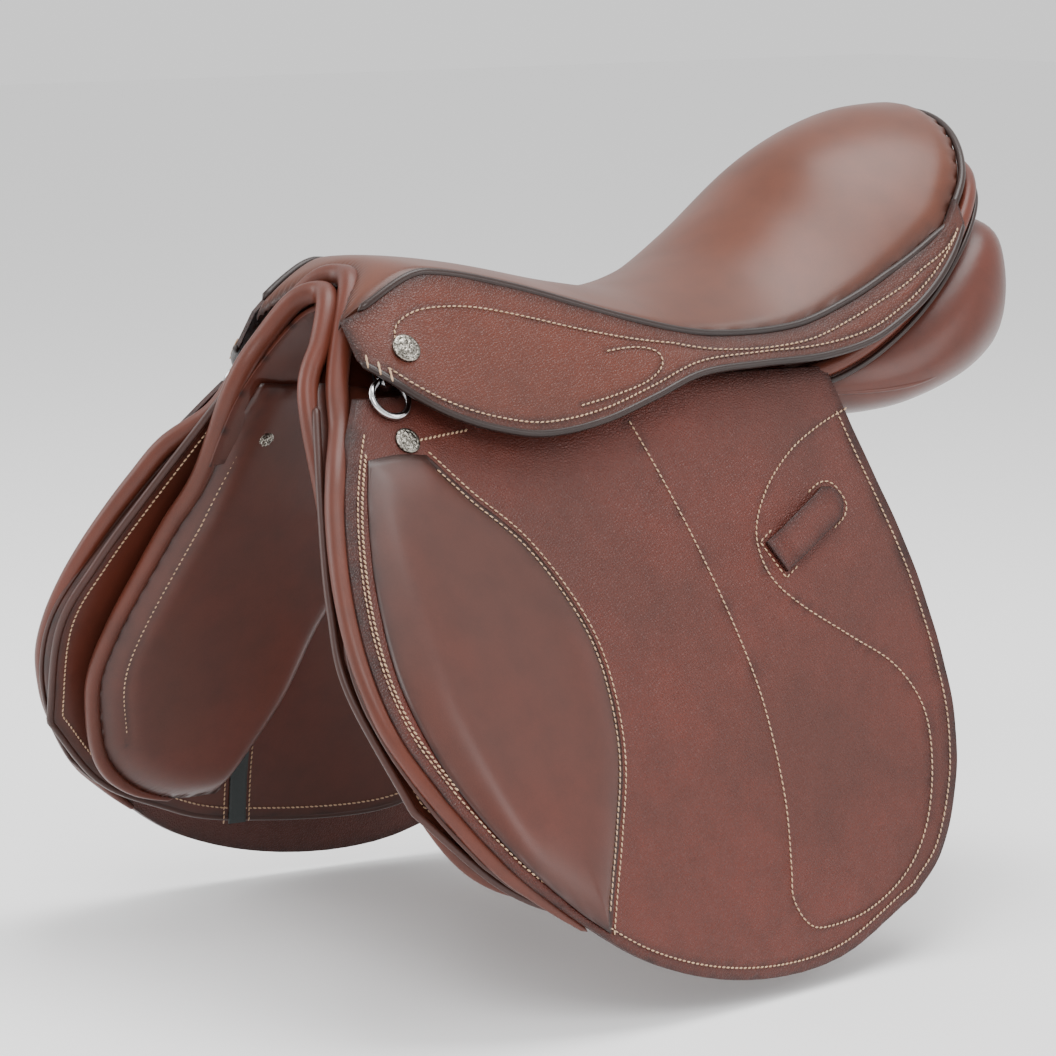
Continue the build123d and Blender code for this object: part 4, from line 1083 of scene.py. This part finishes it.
# band and piping between seat and panel at the rear
bandRows = [(92, 70, 10), (99, 92, 17), (103, 115, 28), (104, 142, 45), (101, 168, 65), (93, 196, 90),
            (78, 219, 110), (55, 236, 121), (28, 245, 125)]
near = [Vector(p) / 1000 for p in bandRows]
line = near + [Vector((0, 0.248, 0.126))] + mirrored(near)
single(tubeAlong("rearBand", throughPoints(line, 220), 0.0050, leather["rollLeather"], around=14))


def besideBand(p):              # a little outside the band and below it
    return p + Vector((0.0035 if p.x > 0 else -0.0035 if p.x < 0 else 0, 0.003, -0.0065))


lower = throughPoints([besideBand(p) for p in line], 220)
single(tubeAlong("rearPiping", lower, 0.0017, leather["edgePaint"]))
print("rear band")

# lining of the head arch
archForm = {"across": 60, "deep": 20, "thickness": 0.003, "sag": 0.0025, "steps": 120}
archFront = [(0, -203, 62), (12, -209, 57), (22, -223, 39), (31, -239, 14), (40, -245, -8), (50, -247, -28)]
archRear = [(0, -120, 50), (14, -120, 46), (22, -120, 34), (27, -120, 18), (36, -120, 0), (49, -120, -20)]


def archLine(rows):
    near = [Vector(p) / 1000 for p in rows]
    return throughPoints(mirrored(near)[:-1] + near, archForm["steps"] + 1)


archCurves = [archLine(archFront), archLine(archRear)]


def archSkin(out):
    def skin(a, b, d=1.0, s=1.0):
        k, rest = spotOn(a, archForm["steps"])
        p, q = [curve[k].lerp(curve[k + 1], rest) for curve in archCurves]
        ahead = (archCurves[0][k + 1] - archCurves[0][k]).normalized()
        n = ahead.cross(q - p).normalized()
        if n.z < 0 and abs(n.z) > 0.2:
            n = -n
        wave = archForm["sag"] * math.sin(math.pi * min(max(b, 0), 1))
        return p.lerp(q, min(max(b, 0), 1)) + n * (out + wave)
    return skin


bm = skinMesh(unitSides, archForm["across"], archForm["deep"], archSkin(-archForm["thickness"]), archSkin(0),
              0.0004)
single(toObject(bm, "archLining", leather["panelLeather"]), ["arch_facing"])
print("arch lining")

# studs with a pressed flower pattern
studForm = {"around": 72, "rings": 22, "petals": 8, "dome": 0.0021}


def studHeight(r, turn):        # r runs from 0 in the middle to 1 at the rim
    dome = studForm["dome"] * math.sqrt(max(1 - (r * 0.96) ** 2, 0))
    petal = 0.00042 * max(0, math.cos(studForm["petals"] * turn)) * math.exp(-((r - 0.42) / 0.2) ** 2)
    bead = 0.00032 * max(0, math.cos(24 * turn)) * math.exp(-((r - 0.82) / 0.07) ** 2)
    eye = 0.0005 * math.exp(-(r / 0.12) ** 2) - 0.0003 * math.exp(-((r - 0.17) / 0.05) ** 2)
    ringCut = -0.0003 * math.exp(-((r - 0.68) / 0.035) ** 2)
    return dome + petal + bead + eye + ringCut


def stud(name, centrePoint, normal, radius):
    n = Vector(normal).normalized()
    a = n.orthogonal().normalized()
    b = n.cross(a)
    rings = []
    count = studForm["rings"]
    for j in range(count + 1):
        r = max(j / count, 0.01)
        rings.append([Vector(centrePoint) + (a * math.cos(t) + b * math.sin(t)) * radius * r
                      + n * studHeight(r, t) for t in
                      (2 * math.pi * k / studForm["around"] for k in range(studForm["around"]))])
    rings.append([p - n * (studForm["dome"] * 0.9) for p in rings[-1]])
    return gridTube(name, rings, metal["antiqueNickel"])


def sideNormal(y, z, out):
    place = layerFace(out)
    e = 0.001
    n = (place(y + e, z) - place(y - e, z)).cross(place(y, z + e) - place(y, z - e)).normalized()
    return n if n.x > 0 else -n


def studPair(name, y, z, x, radius, replacedNode, inward=False):
    n = sideNormal(y, z, 0)
    n = -n if inward else n
    one = stud(name + "_left", (x, y, z), n, radius)
    two = otherSide(one, name + "_right")
    for piece in (one, two):
        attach(piece, "saddle")
        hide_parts(replacedNode)


skirtStudY = along(-0.448)
studPair("skirtStud", skirtStudY, 0.043, onSkirt(skirtStudY, 0.043).x + 0.0008, 0.0082, "skirt_studs")
lowStudY, lowStudZ = along(-0.468), -0.0055
studPair("flapStud", lowStudY, lowStudZ, sideX(lowStudY, lowStudZ) + 0.0010, 0.0074, "flap_studs")
buttonY, buttonZ = along(-0.485), -0.016
studPair("archButton", buttonY, buttonZ, sideX(buttonY, buttonZ, -0.037 - 0.0085), 0.0057, "arch_buttons", True)
print("studs")

# keeper loop on the flap
loopForm = {"length": 0.062, "width": 0.019, "thickness": 0.0026, "stand": 0.0030}
loopY, loopZ = along(0.09), -0.069
loopTilt = math.atan2(34, 60)


def loopPlace(a, b, lift):      # a runs along the strap and b across it
    y = loopY + a * math.cos(loopTilt) - b * math.sin(loopTilt)
    z = loopZ + a * math.sin(loopTilt) + b * math.cos(loopTilt)
    n = sideNormal(y, z, 0)
    return Vector((sideX(y, z), y, z)) + n * lift


def loopLift(a):
    reach = abs(a) / (loopForm["length"] / 2)
    return 0.0004 + loopForm["stand"] * (1 - min(max((reach - 0.45) / 0.35, 0), 1) ** 2)


def loopSkin(extra):
    def skin(a, b, d=1.0, s=1.0):
        crown = 0.0004 * (1 - math.exp(-d / 0.0025))
        return loopPlace(a, b, loopLift(a) + extra + (crown if extra else 0))
    return skin


halfL, halfW = loopForm["length"] / 2, loopForm["width"] / 2
roundEnd = throughPoints([Vector((halfL - halfW * 0.8, halfW, 0)), Vector((halfL - 0.0015, halfW * 0.55, 0)),
                          Vector((halfL, 0, 0)), Vector((halfL - 0.0015, -halfW * 0.55, 0)),
                          Vector((halfL - halfW * 0.8, -halfW, 0))], 24)
squareEnd = [Vector((-halfL, halfW - 2 * halfW * i / 10, 0)) for i in range(11)]
upper = [Vector((-halfL + (2 * halfL - halfW * 0.8) * i / 30, halfW, 0)) for i in range(31)]
lowerSide = [Vector((p.x, -halfW, 0)) for p in upper]
bm = skinMesh([squareEnd, roundEnd, upper, lowerSide], 40, 14, loopSkin(loopForm["thickness"]), loopSkin(0.0),
              0.0006)
pair(toObject(bm, "keeperPiece", leather["flapLeather"]), "keeperStrap", "flap", ["keeper_loop"])
bm = bmesh.new()
outside = halfW + 0.0022
backEnd = [Vector((halfL - 0.016, outside, 0)), Vector((halfL - 0.005, outside - 0.0005, 0)),
           Vector((halfL + 0.0015, outside * 0.6, 0)), Vector((halfL + 0.0026, 0, 0)),
           Vector((halfL + 0.0015, -outside * 0.6, 0)), Vector((halfL - 0.005, -outside + 0.0005, 0)),
           Vector((halfL - 0.016, -outside, 0))]
frontEnd = [Vector((-halfL + 0.010, outside, 0)), Vector((-halfL - 0.002, outside, 0)),
            Vector((-halfL - 0.002, -outside, 0)), Vector((-halfL + 0.010, -outside, 0))]
surfaceRow(bm, throughPoints(backEnd, 60), lambda a, b: loopPlace(a, b, 0.0002), thread, nearSide)
for a, b in zip(frontEnd, frontEnd[1:]):
    surfaceRow(bm, [a, b], lambda a, b: loopPlace(a, b, 0.0002), thread, nearSide)
pair(toObject(bm, "keeperStitches", threadLook), "keeperStitches", "flap")
print("keeper loops")

# pieces carried over from the frame
finishes = {
    "seat_webbing": cloth["canvasWeb"], "tree_shell": cloth["beechLaminate"],
    "billet_web": cloth["canvasWeb"], "head_plate": metal["treeSteel"], "gullet_plate": metal["treeSteel"],
    "tree_spring": metal["treeSteel"], "bar_rivets": metal["forgedSteel"], "latch_pins": metal["forgedSteel"],
    "stirrup_bar": metal["forgedSteel"], "bar_latch": metal["forgedSteel"], "dee_ring": metal["brightChrome"],
    "dee_staples": metal["brightChrome"], "billet_front": leather["billetLeather"],
    "billet_middle": leather["billetLeather"], "billet_rear": leather["billetLeather"],
}
for name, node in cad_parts.items():
    finish = finishes.get(name) or finishes.get(name.rsplit("_", 1)[0])
    if finish:
        node.data.materials.clear()
        node.data.materials.append(finish)
print("finishes")

# floor, light and camera
studio = {"azimuth": 50.0, "elevation": 8.2, "distance": 2.65, "lens": 156.0, "shiftX": -0.043, "shiftY": -0.080}
low = cadBox[0][2]
bm = bmesh.new()
bmesh.ops.create_grid(bm, x_segments=2, y_segments=2, size=9.0)
bmesh.ops.translate(bm, verts=bm.verts, vec=(0, 0, low - 0.012))
paleMaterial, _, paleShader = newMaterial("paleFloor")
paleShader.inputs["Base Color"].default_value = (0.95, 0.95, 0.95, 1)
paleShader.inputs["Roughness"].default_value = 0.9
floor = toObject(bm, "floor", paleMaterial)

world = bpy.data.worlds.new("studio")
bpy.context.scene.world = world
world.use_nodes = True
world.node_tree.nodes["Background"].inputs["Color"].default_value = (1, 1, 1, 1)
world.node_tree.nodes["Background"].inputs["Strength"].default_value = 1.05


lights = {
    "keyLight": {"at": (1.6, -1.9, 1.9), "to": (0, 0, -0.05), "size": (1.2, 1.2), "power": 46},
    "topLight": {"at": (0.2, 0.3, 2.2), "to": (0, 0, 0), "size": (1.6, 1.6), "power": 56},
    "sideLight": {"at": (2.2, 0.9, 0.7), "to": (0.1, 0, -0.1), "size": (0.8, 1.6), "power": 16},
    "offLight": {"at": (-1.8, -1.6, 0.9), "to": (-0.1, -0.1, -0.1), "size": (1.0, 1.6), "power": 26},
}


def areaLight(name, place, target, size, power):
    data = bpy.data.lights.new(name, "AREA")
    data.shape = "RECTANGLE"
    data.size, data.size_y = size
    data.energy = power
    obj = bpy.data.objects.new(name, data)
    obj.location = place
    obj.rotation_euler = (Vector(target) - Vector(place)).to_track_quat("-Z", "Y").to_euler()
    bpy.context.scene.collection.objects.link(obj)


for name, light in lights.items():
    areaLight(name, light["at"], light["to"], light["size"], light["power"])

a, e = math.radians(studio["azimuth"]), math.radians(studio["elevation"])
right = Vector((math.cos(a), math.sin(a), 0))
back = Vector((math.sin(a) * math.cos(e), -math.cos(a) * math.cos(e), math.sin(e)))
up = back.cross(right)
target = right * studio["shiftX"] + up * studio["shiftY"]
cameraData = bpy.data.cameras.new("camera")
cameraData.lens = studio["lens"]
cameraData.sensor_width = 36.0
cameraData.clip_end = 50.0
camera = bpy.data.objects.new("camera", cameraData)
camera.matrix_world = Matrix.Translation(target + back * studio["distance"]) @ Matrix(
    (right, up, back)).transposed().to_4x4()
bpy.context.scene.collection.objects.link(camera)
bpy.context.scene.camera = camera

print("cad box", cadBox)
